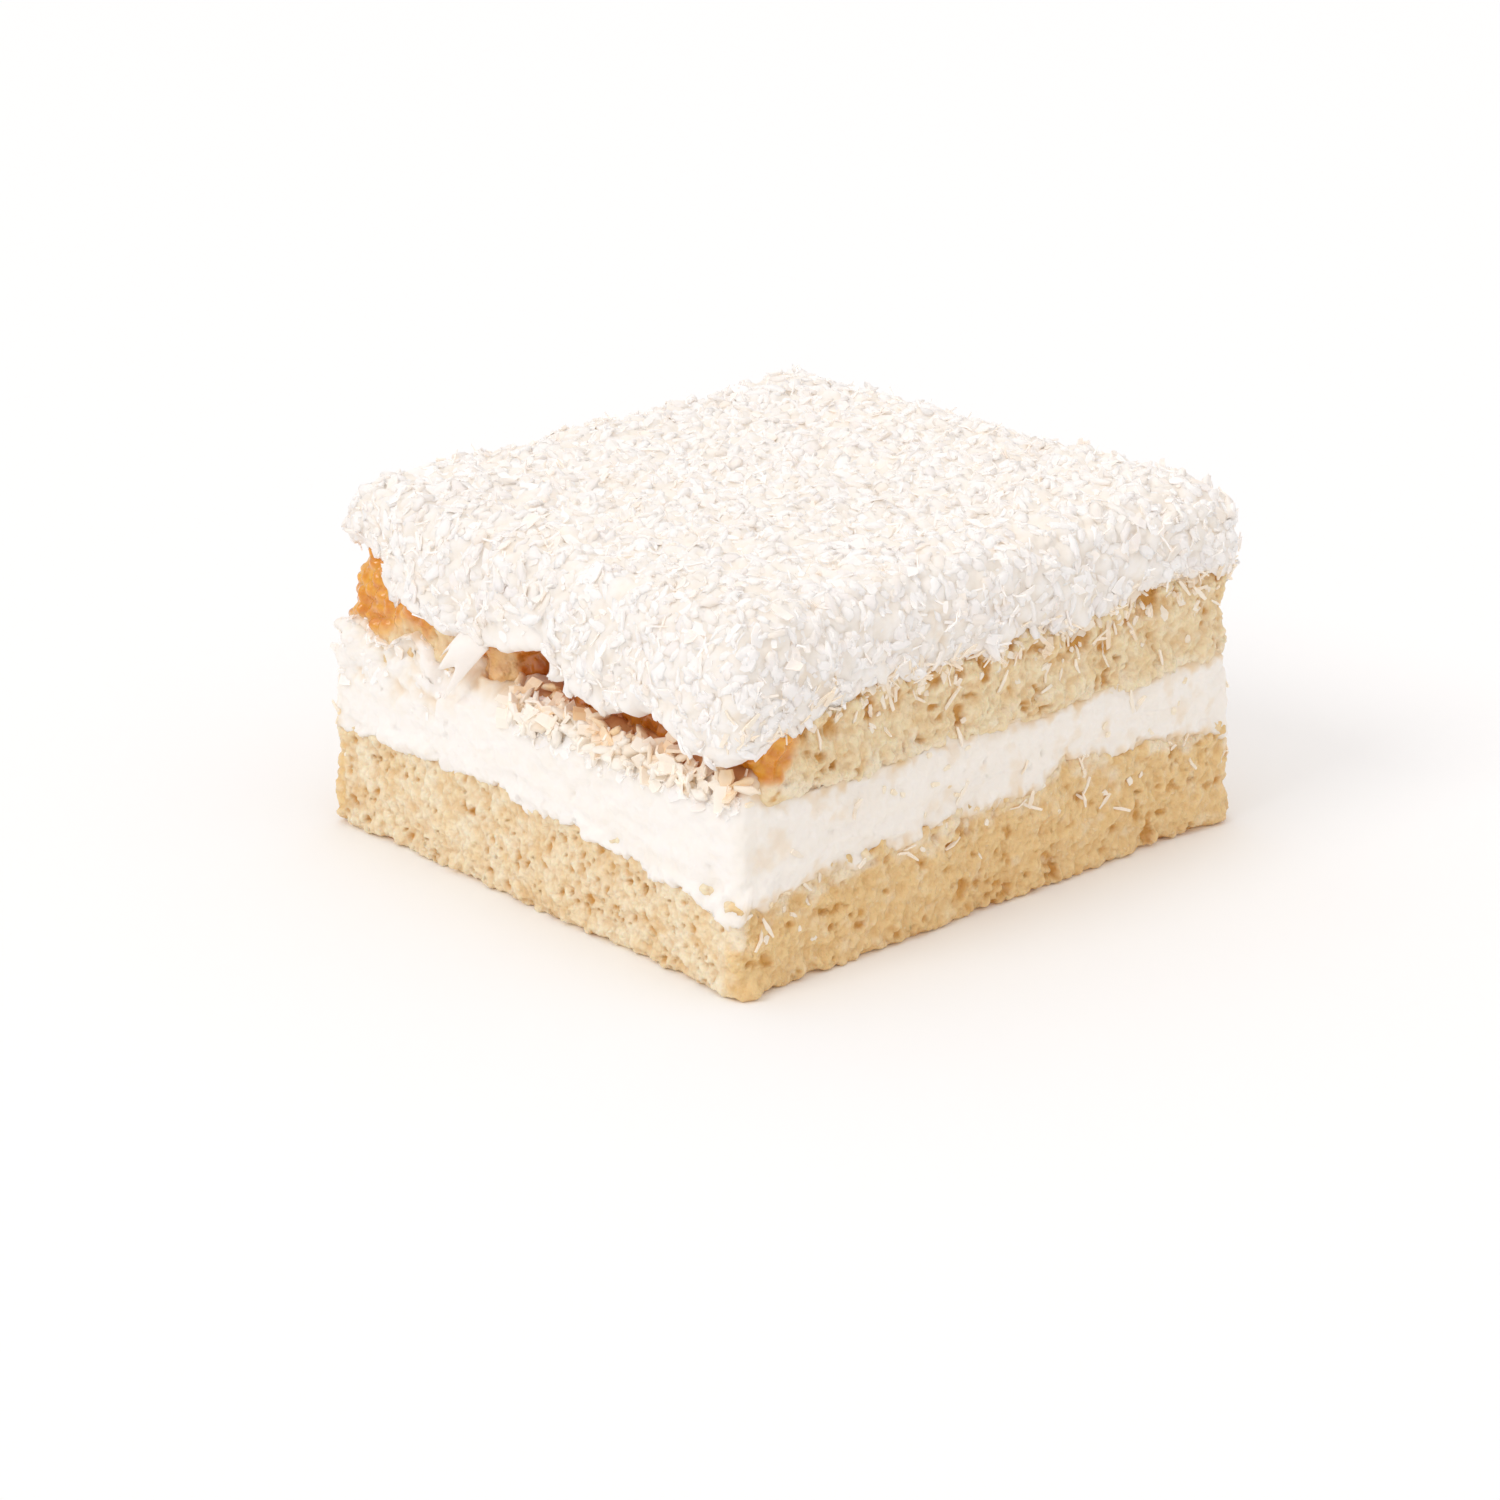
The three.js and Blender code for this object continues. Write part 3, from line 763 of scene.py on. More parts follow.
def sponge_upper():
    """The upper sponge: rings of the outline, drawn in on the dragged side, from the filling up to the
    topping, closed by fans. Its crust comes down by `reach` from its top edge, furthest at the left corner,
    in the recess and at the front corner, and has round knobs where the rest has crumb. The relief fades
    under the cream. Its `crumb` says where bare crumb shows on the cut sides."""
    p = outline_for(CRUMB_STEP)
    side, top, pull = sponge_side(p), sponge_top(p), sponge_pull(p)
    foot, head = tucked(p, LEFT_TUCK), tucked(p, LEFT_TUCK + 2.0)
    low = np.minimum(filling_top(p), smear_top(p)) - 0.4
    stations = [
        place(foot, FILLING_TOP, shrink=INNER, pull=pull, relief=0),
        place(foot, low - 0.6, out=side - RIM, pull=pull, relief=0),
        place(foot, low, out=side, pull=pull),
        place(foot, mix(low, top, 0.5), out=side + 0.1, pull=pull),
        place(head, top - 1.2, out=side, pull=pull),
        place(head, top, out=side - 0.6, pull=pull),
        place(head, top + 0.2, out=side - 1.6, pull=pull, relief=0),
        place(head, SPONGE_TOP, shrink=INNER, pull=pull, relief=0),
    ]
    rings = loft(stations, CRUMB_STEP)
    surface = closed_layer(rings, FILLING_TOP, SPONGE_TOP)
    points = surface.points
    height, pore = crumb_relief(points, 200)
    hidden = torn(p) * (1 - lumps(p))
    reach = -2.5 + 14 * bump(p, *LEFT, 12) + 11 * hidden + 10 * bump(p, FRONT[0] + 2, FRONT[1], 4.0)
    # Where the crust lies in the recess under the topping's lip, most at the hollow: painted darker there as
    # shade.
    shaded = hidden * smoothstep(p.y, FRONT[1] + 2, FRONT[1] + 8) * mix(0.6, 1.0, cave(p))
    covered = np.maximum(bump(p, *FRONT, 6), smoothstep(smear(p), 1, 3))
    z = rings[..., 2]
    lump_crust = sum(share * along_dragged(p, y, spread) for y, spread, _, share in LUMPS)
    below_top, under_lip, above_cream, reach, shaded, covered, lump_crust = (
        np.append(np.broadcast_to(share, z.shape).ravel(), [9, 9])
        for share in (top - z, lip(p) - z, z - smear_top(p), reach, shaded, covered, lump_crust))
    crust = smoothstep(reach - below_top + 1.2 * fractal(points, 2.5, 260), -2.0, 1.6)
    crust = np.maximum(crust, lump_crust * (points[:, 0] < 0)) * smoothstep(above_cream, -0.5, 1.0)
    knobs = domes(warped(points, 0.4, 1.5, 270), 1.8, 1.2, 280)
    near_lip = clean_cut(points) * (1 - smoothstep(under_lip, 1, 5))
    pits = near_lip * smoothstep(fractal(points, 2.0, 520), 0.0, 0.6)
    strength = mix(mix(0.9, 0.1, covered), 1.0, smoothstep(above_cream, -0.5, 1.0))
    swell(surface, strength * mix(height - 0.7 * pits, 0.9 * knobs + 0.2 * height, crust))
    marks = {
        # Painted shade in the pores, crevices and pits of the crumb, weaker on the crust.
        "pore": np.minimum(1, pore + pits) * (1 - 0.7 * crust),
        "amber_darkening": np.zeros_like(pore),
        "crust": crust,
        # Painted shade of the crust in the recess.
        "recess_shade": shaded * crust,
        "smear": smudge(points, above_cream, 510) * (1 - crust),
    }
    add_piece("sponge_upper_crumb", surface, BROWNED, ["sponge_upper"], marks)
    surface.crumb = clean_cut(points) * (1 - smoothstep(crust, 0.1, 0.4))
    return surface


def cream_relief(points, seed):
    """Height of smeared cream: slow swells, folds drawn along the side, and a few sunken bubbles."""
    swells = 0.25 * noise(points, 6.5, seed)
    drawn = warped(points, 0.8, 4.0, seed + 2) * [0.3, 0.3, 1.0]
    folds = 0.4 * (0.5 - np.abs(noise(drawn, 1.6, seed + 1))) + 0.12 * fractal(points, 1.4, seed + 8)
    bubble = cells(points, 2.2, seed + 5)
    size = 0.5 * smoothstep(bubble.mark, 0.6, 1)
    return swells + folds - 0.4 * (1 - smoothstep(bubble.away, 0.4 * size, size + 1e-3))


def cream_filling():
    """The filling: rings of the outline from the lower sponge up its side, in over the ledge on the dragged
    side and up against the upper sponge, closed by fans and moved along its normals by the cream's relief.
    On the cut sides it tapers into both sponges and is stained along its edges. Everywhere it is stained in
    patches, more strongly on the cut sides, partly as painted shade. It is fluffy where it is smeared up on
    the left, with painted shade in the dips of the fluff, and painted with brown shade at the back of the
    ledge, under the topping's lip."""
    p = outline_for(CREAM_STEP)
    low, high = cream_low(p), smear_top(p)
    side, beside, pull = filling_side(p), sponge_side(p), sponge_pull(p)
    ledge = torn(p)
    shelf = mix(high - 0.4, LEDGE_LIP + 0.4 * ripple(p, 4), ledge)
    foot = mix(high - 0.2, np.maximum(LEDGE_TOP, high - 1.5), ledge)
    soft_relief = mix(0.25, 0.8, ledge)
    drawn = np.minimum(1, smear(p) / 4)
    drip = 0.4 * on_dragged(p)
    taper = 1 - on_dragged(p)
    blunt = tucked(p, 1.2, FRONT, 4)
    inset = tucked(blunt, LEFT_TUCK)
    stations = [
        place(p, BASE_TOP - 0.6, shrink=INNER, relief=0),
        place(p, low - 0.2, out=base_side(p) - 1.6, relief=0),
        place(p, low, out=base_side(p) - 0.4 + drip, relief=0.3),
        place(p, low + 0.35, out=side - 0.15 + drip),
        place(blunt, mix(low, shelf, 0.3), out=side + 0.25),
        place(blunt, mix(low, shelf, 0.7), out=side + 0.2),
        place(blunt, shelf - 0.9, out=side - 0.1),
        place(blunt, shelf, out=mix(side - 0.35, side - 0.8, ledge), relief=mix(0.6, 1.0, ledge)),
        place(inset, foot, out=beside + mix(0.3, 1.7, drawn), pull=pull * 0.92, relief=soft_relief),
        place(inset, high + 0.1 + 0.4 * taper, out=beside + mix(0.0, 1.1, drawn), pull=pull,
              relief=soft_relief),
        place(inset, high - 0.4 + 1.4 * taper, out=beside - 1.2 + 0.4 * taper, pull=pull, relief=0),
        place(inset, FILLING_TOP, shrink=INNER, pull=pull, relief=0),
    ]
    rings = loft(stations, CREAM_STEP)
    surface = closed_layer(rings, BASE_TOP - 0.6, FILLING_TOP)
    points = surface.points
    cut = clean_cut(points)
    inside = np.append(np.minimum(high - rings[..., 2], rings[..., 2] - low - 0.3).ravel(), [9, 9])
    x, y, z = points.T
    smeared = smoothstep(z, 17, 22) * smoothstep(y, 10, 18)
    fluffy = np.maximum(smeared, smoothstep(z, 22, 24) * smoothstep(y, 0, 5))
    fluff = fractal(warped(points, 0.8, 2.0, 316), 2.6, 315, 4)
    swell(surface, mix(1.4, 1.1, cut) * cream_relief(points, 300) + 0.25 * fractal(points, 1.2, 310)
          + 0.9 * fluffy * fluff)
    # Stained patches, warmer and stronger on the cut sides: smudged crumb and partly painted shade.
    stain_and_shade = mix(0.0, 0.08, cut) + mix(0.08, 0.3, cut) * smoothstep(fractal(points, 2.6, 320, 4), 0.1, 1.0)
    thin = smoothstep(z, 22.5, 24.5) * smoothstep(y, 0, 4) * (1 - smoothstep(y, 13, 17)) * (x < FRONT[0] + 6)
    edge = cut * (1 - smoothstep(inside + 0.9 * fractal(points, 1.5, 325), -0.2, 1.5))
    # Painted shade in the dips of the fluff.
    dips = 0.5 * fluffy * (1 - smoothstep(fluff, -0.9, 0.3))
    stain_and_shade = np.clip(stain_and_shade + 0.7 * edge + dips + 0.4 * thin, 0, 1)
    # Painted shade: darker amber and brown at the back of the ledge, under the topping's lip.
    amber_darkening = smoothstep(x, FRONT[0] + 0.3, FRONT[0] + 1.8) * (x < FRONT[0] + 7) * smoothstep(z, 21.8, 23.2)
    amber_darkening = amber_darkening * (1 - smoothstep(y, 0, 5)) * (1 - smoothstep(np.abs(y), 33, 35))
    marks = {"stain_and_shade": np.maximum(stain_and_shade, amber_darkening), "brown_shade": 0.7 * amber_darkening}
    add_piece("cream_filling_smear", surface, CREAM, ["cream_filling"], marks)
    return surface


def grid_top(ring, shrink):
    """A square grid laid over the slice: a grid point's larger coordinate says how far out it lies, and its
    direction which point of the ring it lies towards."""
    nu, nv = TOP_STEPS
    u, v = np.meshgrid(np.linspace(-1, 1, nu + 1), np.linspace(-1, 1, nv + 1), indexing="ij")
    out = np.maximum(np.abs(u), np.abs(v))
    bu, bv = u / np.maximum(out, 1e-9), v / np.maximum(out, 1e-9)
    front, right, back = bv <= -1 + 1e-9, bu >= 1 - 1e-9, bv >= 1 - 1e-9
    index = np.select(
        [front, right, back],
        [(bu + 1) / 2 * nu, nu + (bv + 1) / 2 * nv, nu + nv + (1 - bu) / 2 * nu],
        2 * nu + nv + (1 - bv) / 2 * nv,
    )
    count = 2 * (nu + nv)
    x = np.interp(index.ravel(), np.arange(count + 1), np.append(ring.x, ring.x[0])).reshape(u.shape)
    y = np.interp(index.ravel(), np.arange(count + 1), np.append(ring.y, ring.y[0])).reshape(u.shape)
    x, y = x * out * shrink, y * out * shrink
    return np.stack([x, y, cake_top(x, y)], axis=-1)


def topping_surface():
    """The topping: a grid over its top, sewn along its rim to rings that run down its side, round its lip
    and in under it. Each point's rise is its height above the lip."""
    nu, nv = TOP_STEPS
    p = tucked(outline(2 * (nu + nv), CORNER * np.pi / 4), LEFT_TUCK + 0.6)
    low, side = lip(p), topping_side(p)
    pull = sponge_pull(p)
    inner = np.minimum(sponge_side(p) + 0.3, side - 0.4)
    rim = 0.86
    height = CAKE_TOP - 0.3
    stations = [
        place(p, SPONGE_TOP - 0.2, shrink=INNER, pull=pull, relief=0),
        place(p, sponge_top(p) - 0.2, out=inner - 2.4, pull=pull, relief=0),
        place(p, sponge_top(p) - 0.1, out=inner - 0.8, pull=pull, relief=0),
        place(p, low + 0.5, out=inner, pull=pull * 0.95, relief=0.2),
        place(p, low, out=mix(inner, side, 0.6), pull=pull * 0.4, relief=0.4),
        place(p, mix(low, height, 0.04), out=side - 0.25),
        place(p, mix(low, height, 0.25), out=side + 0.2),
        place(p, mix(low, height, 0.6), out=side),
        place(p, mix(low, height, 0.84), out=side - 0.9),
        place(p, mix(low, height, 0.97), out=side - 2.5),
        place(p, cake_top(p.x * rim, p.y * rim), shrink=rim),
    ]
    rings = loft(stations, TOPPING_STEP)[:-1]
    grid = grid_top(p, rim)
    numbers = np.arange((nu + 1) * (nv + 1)).reshape(nu + 1, nv + 1)
    rim_row = np.concatenate([numbers[:-1, 0], numbers[-1, :-1], numbers[:0:-1, -1], numbers[0, :0:-1]])
    table = numbers.size + np.arange(rings.shape[0] * rings.shape[1]).reshape(rings.shape[:2])
    table = np.vstack([table, rim_row])
    top_quads = np.stack([numbers[:-1, :-1], numbers[1:, :-1], numbers[1:, 1:], numbers[:-1, 1:]], axis=-1)
    centre = numbers.size + rings.shape[0] * rings.shape[1]
    return SimpleNamespace(
        points=np.vstack([grid.reshape(-1, 3), rings[..., :3].reshape(-1, 3), [0, 0, SPONGE_TOP - 0.2]]),
        relief=np.concatenate([np.ones(numbers.size), rings[..., 3].ravel(), [0]]),
        rise=np.concatenate([np.full(numbers.size, CAKE_TOP), (rings[..., 2] - low).ravel(), [0]]),
        quads=np.concatenate([band(table), top_quads.reshape(-1, 4)]),
        tris=fan(table[0], centre, False),
    )


def arched(points):
    """1 where the topping's lip lifts into a smooth arch over the hollow of the dragged side, falling off
    along it."""
    x, y = points[:, 0], points[:, 1]
    return (x < FRONT[0] + 4) * bell(y, CAVE_Y, 2 * CAVE_SPREAD)


def cream_topping():
    """The topping: its surface moved along its normals by slow clumps, by lumps of matted coconut that fade
    towards the lip and the arch, and by the cream's own relief. Its sides are stained in patches, strongest
    on the cut sides, partly as painted shade; the dips between the lumps carry painted shade, and the inside
    of the hollow painted brown shade."""
    surface = topping_surface()
    points = surface.points
    on_top = smoothstep(points[:, 2], 38, 41)
    bent = warped(points, 0.7, 2.5, 400)
    clumps = 0.35 * domes(bent, 2.8, 1.9, 410) + 0.35 * fractal(points, 5.5, 420, 4)
    lumpy = 0.7 * domes(bent, 2.2, 1.5, 450) + 0.3 * domes(warped(points, 0.4, 1.2, 460), 1.1, 0.75, 470)
    mat = lumpy * smoothstep(surface.rise - 3.5 * arched(points), 0.0, 1.5)
    pulled = (1 - on_top) * (1 - clean_cut(points)) * smoothstep(-points[:, 0], 30, 36)
    swells = mix(0.75, 1.0, on_top) * clumps * (1 + 1.3 * pulled)
    swell(surface, swells + mat + 0.4 * cream_relief(points, 430))
    x, y, z = surface.points.T
    patches = smoothstep(fractal(points, 2.5, 440), 0.2, 0.9)
    # Stained patches on the sides, strongest on the cut sides: smudged crumb, and partly painted shade.
    stain_and_shade = mix(0.05, 0.4, clean_cut(points)) * (1 - on_top) * patches
    # Painted shade in the dips between the lumps of coconut.
    stain_and_shade = np.maximum(stain_and_shade, 0.15 * (1 - smoothstep(lumpy, 0.2, 0.8)) * smoothstep(surface.rise, 1, 4))
    # Painted shade: brown inside the hollow under the topping.
    inside = smoothstep(x, FRONT[0] + 1.5, FRONT[0] + 3) * (1 - smoothstep(x, FRONT[0] + 12, FRONT[0] + 13))
    brown_shade = inside * np.exp(-(((y - CAVE_Y) / (1.6 * CAVE_SPREAD)) ** 2)) * (1 - smoothstep(z, 35, 36))
    marks = {"stain_and_shade": stain_and_shade, "brown_shade": brown_shade}
    add_piece("cream_topping_swell", surface, CREAM, ["cream_topping"], marks)
    return surface


def joined(surfaces):
    """Several surfaces as one, their indices shifted past the points of those before."""
    shifts = np.cumsum([0] + [len(s.points) for s in surfaces[:-1]])
    return SimpleNamespace(
        points=np.vstack([s.points for s in surfaces]),
        quads=np.concatenate([s.quads + shift for s, shift in zip(surfaces, shifts)]),
        tris=np.concatenate([s.tris + shift for s, shift in zip(surfaces, shifts)]),
    )


def cream_wisp():
    """The forked leaf of cream that hangs from the topping on the dragged side. Across it v = cos(angle)
    runs from edge to edge while its thickness goes with sin(angle). Along it t runs from the root line
    towards a curve through the three tips, drawn back between them by sin(pi v)^2, and it arches outwards by
    t(1 - t). At the end the two faces meet."""
    t = np.linspace(0, 1, 30)[:, None, None]
    angle = np.linspace(0, 2 * np.pi, 72, endpoint=False)[None, :, None]
    v = np.cos(angle)
    first, middle, last = (np.array(tip) for tip in WISP_TIPS)
    ends = first * v * (v + 1) / 2 + middle * (1 - v**2) + last * v * (v - 1) / 2
    root = mix(*(np.array(end) for end in WISP_ROOT), (1 - v) / 2)
    reach = t * (1 - 0.36 * np.sin(np.pi * v) ** 2 * t)
    thick = WISP_THICK * np.sqrt(1.02 - t) * np.sin(angle)
    arch = 2.4 * t * (1 - t) * (1 - 0.9 * v**2)
    rings = mix(root, ends, reach) + (thick + arch) * np.array([-1.0, 0.0, 0.1])
    table = np.arange(rings.shape[0] * rings.shape[1]).reshape(rings.shape[:2])
    seam = table[-1]
    half = len(seam) // 2
    ahead, behind = seam[1:half], seam[:half:-1]
    closing = np.stack([ahead[:-1], ahead[1:], behind[1:], behind[:-1]], axis=-1)
    points = np.vstack([rings.reshape(-1, 3), rings[0].mean(axis=0)])
    tips = [[seam[0], ahead[0], behind[0]], [ahead[-1], seam[half], behind[-1]]]
    surface = SimpleNamespace(
        points=points,
        quads=np.concatenate([band(table), closing]),
        tris=np.concatenate([fan(table[0], table.size, False), tips]),
    )
    none = np.zeros(len(points))
    add_piece("cream_wisp", surface, CREAM, (), {"stain_and_shade": none, "brown_shade": none})


# Coconut

def scatter(surface, weight, count):
    """Seats spread over a surface: quads drawn by their area times the mean weight of their corners, then
    a random place on each. Gives the seats and their normals."""
    corners = surface.points[surface.quads]
    area = np.linalg.norm(np.cross(corners[:, 2] - corners[:, 0], corners[:, 3] - corners[:, 1]), axis=1)
    chance = np.cumsum(area * weight[surface.quads].mean(axis=1))
    even = (np.arange(count) + draw.random(count)) / count
    picked = np.searchsorted(chance, even * chance[-1])
    u, v = draw.random((2, count, 1))
    c = corners[picked]
    seats = mix(mix(c[:, 0], c[:, 1], u), mix(c[:, 3], c[:, 2], u), v)
    return seats, point_normals(surface)[surface.quads[picked, 0]]


def unit(vectors):
    """The vectors at a length of 1."""
    return vectors / np.maximum(np.linalg.norm(vectors, axis=-1, keepdims=True), 1e-9)


def laid(seats, normals, kind, heading=None):
    """Middle, axes and sizes of a flake on each seat. Its length lies any way along the surface, or roughly
    along `heading`, and it is then tipped and rolled out of the surface."""
    count = len(seats)
    aim = unit(draw.normal(size=(count, 3)))
    if heading is not None:
        aim = 0.9 * aim + np.array(heading)
    along = unit(aim - np.sum(aim * normals, axis=1, keepdims=True) * normals)
    tip = draw.normal(0, kind.tip, (count, 1))
    lean = draw.normal(0, kind.roll, (count, 1))
    forward = np.cos(tip) * along + np.sin(tip) * normals
    up = np.cos(tip) * normals - np.sin(tip) * along
    across = np.cross(up, forward)
    across, up = np.cos(lean) * across + np.sin(lean) * up, np.cos(lean) * up - np.sin(lean) * across
    ranges = (kind.length, kind.width, kind.thick)
    length, width, thick = (draw.uniform(*limits, (count, 1, 1)) for limits in ranges)
    lift = 0.3 * length[:, 0] * np.abs(np.sin(tip)) + draw.uniform(*kind.lift, (count, 1))
    return SimpleNamespace(middle=seats + normals * lift, axes=np.stack([forward, across, up], axis=1),
                           length=length, width=width, thick=thick)


def repeated(local, at, quads, tris):
    """One copy of a shape for each flake, from its points along the flake's own axes."""
    count, corners = local.shape[:2]
    first = np.arange(count)[:, None, None] * corners
    return SimpleNamespace(
        points=(at.middle[:, None] + local @ at.axes).reshape(-1, 3),
        quads=(first + quads).reshape(-1, 4),
        tris=(first + tris).reshape(-1, 3),
    )


def flakes(seats, normals, kind, heading=None):
    """Thin bent plates, one on each seat: three cross-sections of four corners along the length, the end
    ones narrower and slanted, bent into an arc."""
    count = len(seats)
    at = laid(seats, normals, kind, heading)
    share = np.array([-0.5, 0.0, 0.5])[None, :, None]
    narrow = draw.uniform(*kind.ends, (count, 3, 1))
    narrow[:, 1] = 1
    y = at.width * narrow * np.array([-0.5, 0.5, 0.5, -0.5])
    x = at.length * share + draw.normal(0, 0.3, (count, 3, 1)) * y
    arc = draw.normal(kind.bend, 0.08, (count, 1, 1)) * at.length * (4 * share**2 - 0.5)
    z = arc + at.thick * np.array([-0.5, -0.5, 0.5, 0.5])
    first = np.arange(8).reshape(2, 4)
    sides = np.stack([first, np.roll(first, -1, axis=1), np.roll(first, -1, axis=1) + 4, first + 4], axis=-1)
    quads = np.vstack([sides.reshape(-1, 4), [[0, 3, 2, 1], [8, 9, 10, 11]]])
    local = np.stack([x, y, z], axis=-1).reshape(count, FLAKE_CORNERS, 3)
    return repeated(local, at, quads, np.zeros((0, 3), int))


def grains(seats, normals, kind):
    """Rounded lumps, one on each seat: rings of corners on an ellipsoid and a point at either end, each
    moved in or out at random."""
    at = laid(seats, normals, kind)
    tilt = np.pi * np.arange(1, LUMP_RINGS + 1)[:, None] / (LUMP_RINGS + 1)
    spin = 2 * np.pi * np.arange(LUMP_SIDES) / LUMP_SIDES
    rings = (-np.cos(tilt) + 0 * spin, np.sin(tilt) * np.cos(spin), np.sin(tilt) * np.sin(spin))
    ball = np.vstack([np.stack(rings, axis=-1).reshape(-1, 3), [[-1, 0, 0], [1, 0, 0]]])
    sizes = np.concatenate([at.length, at.width, at.thick], axis=-1)
    local = ball * draw.uniform(0.68, 1.24, (len(seats), len(ball), 1)) * sizes / 2
    table = np.arange(LUMP_RINGS * LUMP_SIDES).reshape(LUMP_RINGS, LUMP_SIDES)
    tris = np.concatenate([fan(table[0], table.size, False), fan(table[-1], table.size + 1, True)])
    return repeated(local, at, band(table), tris)


def add_flakes(name, surface, finish, nodes=(), depth=0.0, corners=FLAKE_CORNERS, smooth=False):
    """Adds flakes as one piece, each tinted at random, and more as painted shade the greater its depth is.
    """
    count = len(surface.points) // corners
    tint = np.clip(draw.random(count) ** 2 + depth, 0, 1)
    add_piece(name, surface, finish, nodes, {"tint": np.repeat(tint, corners)}, smooth)


def add_grains(name, surface, finish, depth=0.0):
    """Adds rounded lumps as one smooth piece, tinted as flakes are."""
    add_flakes(name, surface, finish, (), depth, LUMP_RINGS * LUMP_SIDES + 2, True)


def coconut_coat(topping):
    """Grains, plates, shreds and bits over the top and sides of the topping, thinning out towards its lip
    and where the lip lifts into a smooth arch."""
    facing = smoothstep(point_normals(topping)[:, 2], -0.75, -0.2)
    bare = 4.5 * arched(topping.points) - 2.6
    coat = facing * mix(0.15, 1.0, smoothstep(topping.rise - bare, 1.0, 4.5))
    rounded = grains(*scatter(topping, coat, GRAIN_COUNT), GRAIN)
    add_grains("coconut_grains", rounded, COCONUT)
    plates = flakes(*scatter(topping, coat, PLATE_COUNT), PLATE)
    tufts = flakes(*scatter(topping, coat, TUFT_COUNT), TUFT)
    add_flakes("coconut_flakes", joined([plates, tufts]), COCONUT, ["cream_topping"])
    shreds = flakes(*scatter(topping, coat, SHRED_COUNT), SHRED)
    hairs = flakes(*scatter(topping, coat, HAIR_COUNT), HAIR)
    add_flakes("coconut_shreds", joined([shreds, hairs]), COCONUT)
    add_flakes("coconut_bits", flakes(*scatter(topping, coat, BIT_COUNT), BIT), COCONUT)


def dragged_shreds(topping, upper, filling, base):
    """Shreds, flakes and bits that the knife drew down over the cut sides: most hang from the topping's lip
    or lie just under it, the others cling to the sponge and the cream."""
    hung = clean_cut(topping.points) * smoothstep(topping.points[:, 2], 29, 30.5)
    hung = hung * (1 - smoothstep(topping.points[:, 2], 33, 35))
    high = upper.crumb * smoothstep(upper.points[:, 2], 23, 31)
    cream = clean_cut(filling.points)
    low = clean_cut(base.points) * smoothstep(base.points[:, 2], 4, 11)
    near_lip = upper.crumb * smoothstep(upper.points[:, 2], 28, 31.5)
    down = (0, 0, -1)
    strands = [flakes(*scatter(under, weight, count), kind, down) for under, weight, count, kind in (
        (topping, hung, 110, SHRED), (topping, hung, 110, STRAND), (topping, hung, 40, HAIR),
        (upper, near_lip, 90, STRAND), (upper, near_lip, 240, BIT), (upper, near_lip, 60, PLATE),
        (upper, high, 60, STRAND), (upper, high, 60, BIT),
        (filling, cream, 30, STRAND),
        (base, low, 60, STRAND), (base, low, 60, BIT))]
    add_flakes("coconut_dragged", joined(strands), SHREDDED)


def ledge_chips(filling):
    """The heap on the ledge of the dragged side, under the topping: thin chips and rounded chunks, tinted
    more the further in they lie as painted shade. Flakes and bits are spilt over the ledge's brow and caught
    in the smear."""
    points, normals = filling.points, point_normals(filling)
    x, y, z = points.T
    ledge = smoothstep(normals[:, 2], 0.1, 0.4) * smoothstep(z, 21.8, 23) * (x < FRONT[0] + 7)
    ledge = ledge * smoothstep(y, -37, -33) * (1 - smoothstep(y, 3, 6))
    wall = mix(FRONT[0] + 2, FRONT[0] + 2.6, smoothstep(y, -9, -5))
    ledge = ledge * (1 - smoothstep(x - wall, 0, 1.2))
    seats, facing = scatter(filling, ledge, CHIP_COUNT)
    # Painted shade: chips further in under the topping's lip are tinted warmer and darker.
    depth = mix(-0.6, 0.55, smoothstep(seats[:, 0], FRONT[0] + 0.8, FRONT[0] + 3.4))
    thin = draw.random(len(seats)) < CHIP_THIN
    chips = flakes(seats[thin], facing[thin], CHIP)
    add_flakes("coconut_chips", chips, CHIPPED, (), depth[thin])
    chunks = grains(seats[~thin], facing[~thin], CHUNK)
    add_grains("coconut_chunks", chunks, CHIPPED, depth[~thin])
    brow = smoothstep(normals[:, 2], -0.1, 0.3) * smoothstep(z, 20, 23) * (x < FRONT[0] + 2.2)
    brow = brow * smoothstep(y, -37, -33) * (1 - smoothstep(y, 0, 4))
    smeared = smoothstep(z, 17, 21) * smoothstep(y, 12, 19) * (x < FRONT[0] + 4)
    spilt = [flakes(*scatter(filling, weight, count), kind) for weight, count, kind in (
        (brow, 90, PLATE), (brow, 170, BIT), (smeared, 15, PLATE), (smeared, 50, BIT))]
    add_flakes("coconut_spilt", joined(spilt), COCONUT)


def crumbs(filling):
    """Crumbs of sponge that stick to the cream of the filling."""
    points = filling.points
    weight = clean_cut(points) * smoothstep(fractal(points, 6.0, 480), -0.2, 0.8)
    add_flakes("sponge_crumbs", flakes(*scatter(filling, weight, CRUMB_COUNT), BIT), CRUMB)


# Stage

def add_floor():
    """A plain pale floor: one large square."""
    mesh = bpy.data.meshes.new("floor")
    corners = FLOOR_REACH * np.array([(-1, -1, 0), (1, -1, 0), (1, 1, 0), (-1, 1, 0)])
    mesh.from_pydata(corners.tolist(), [], [(0, 1, 2, 3)])
    finish = Finish("floor_white", {"Base Color": srgb(250, 252, 254), "Roughness": 0.9})
    mesh.materials.append(finish.material)
    floor = bpy.data.objects.new("floor", mesh)
    bpy.context.scene.collection.objects.link(floor)


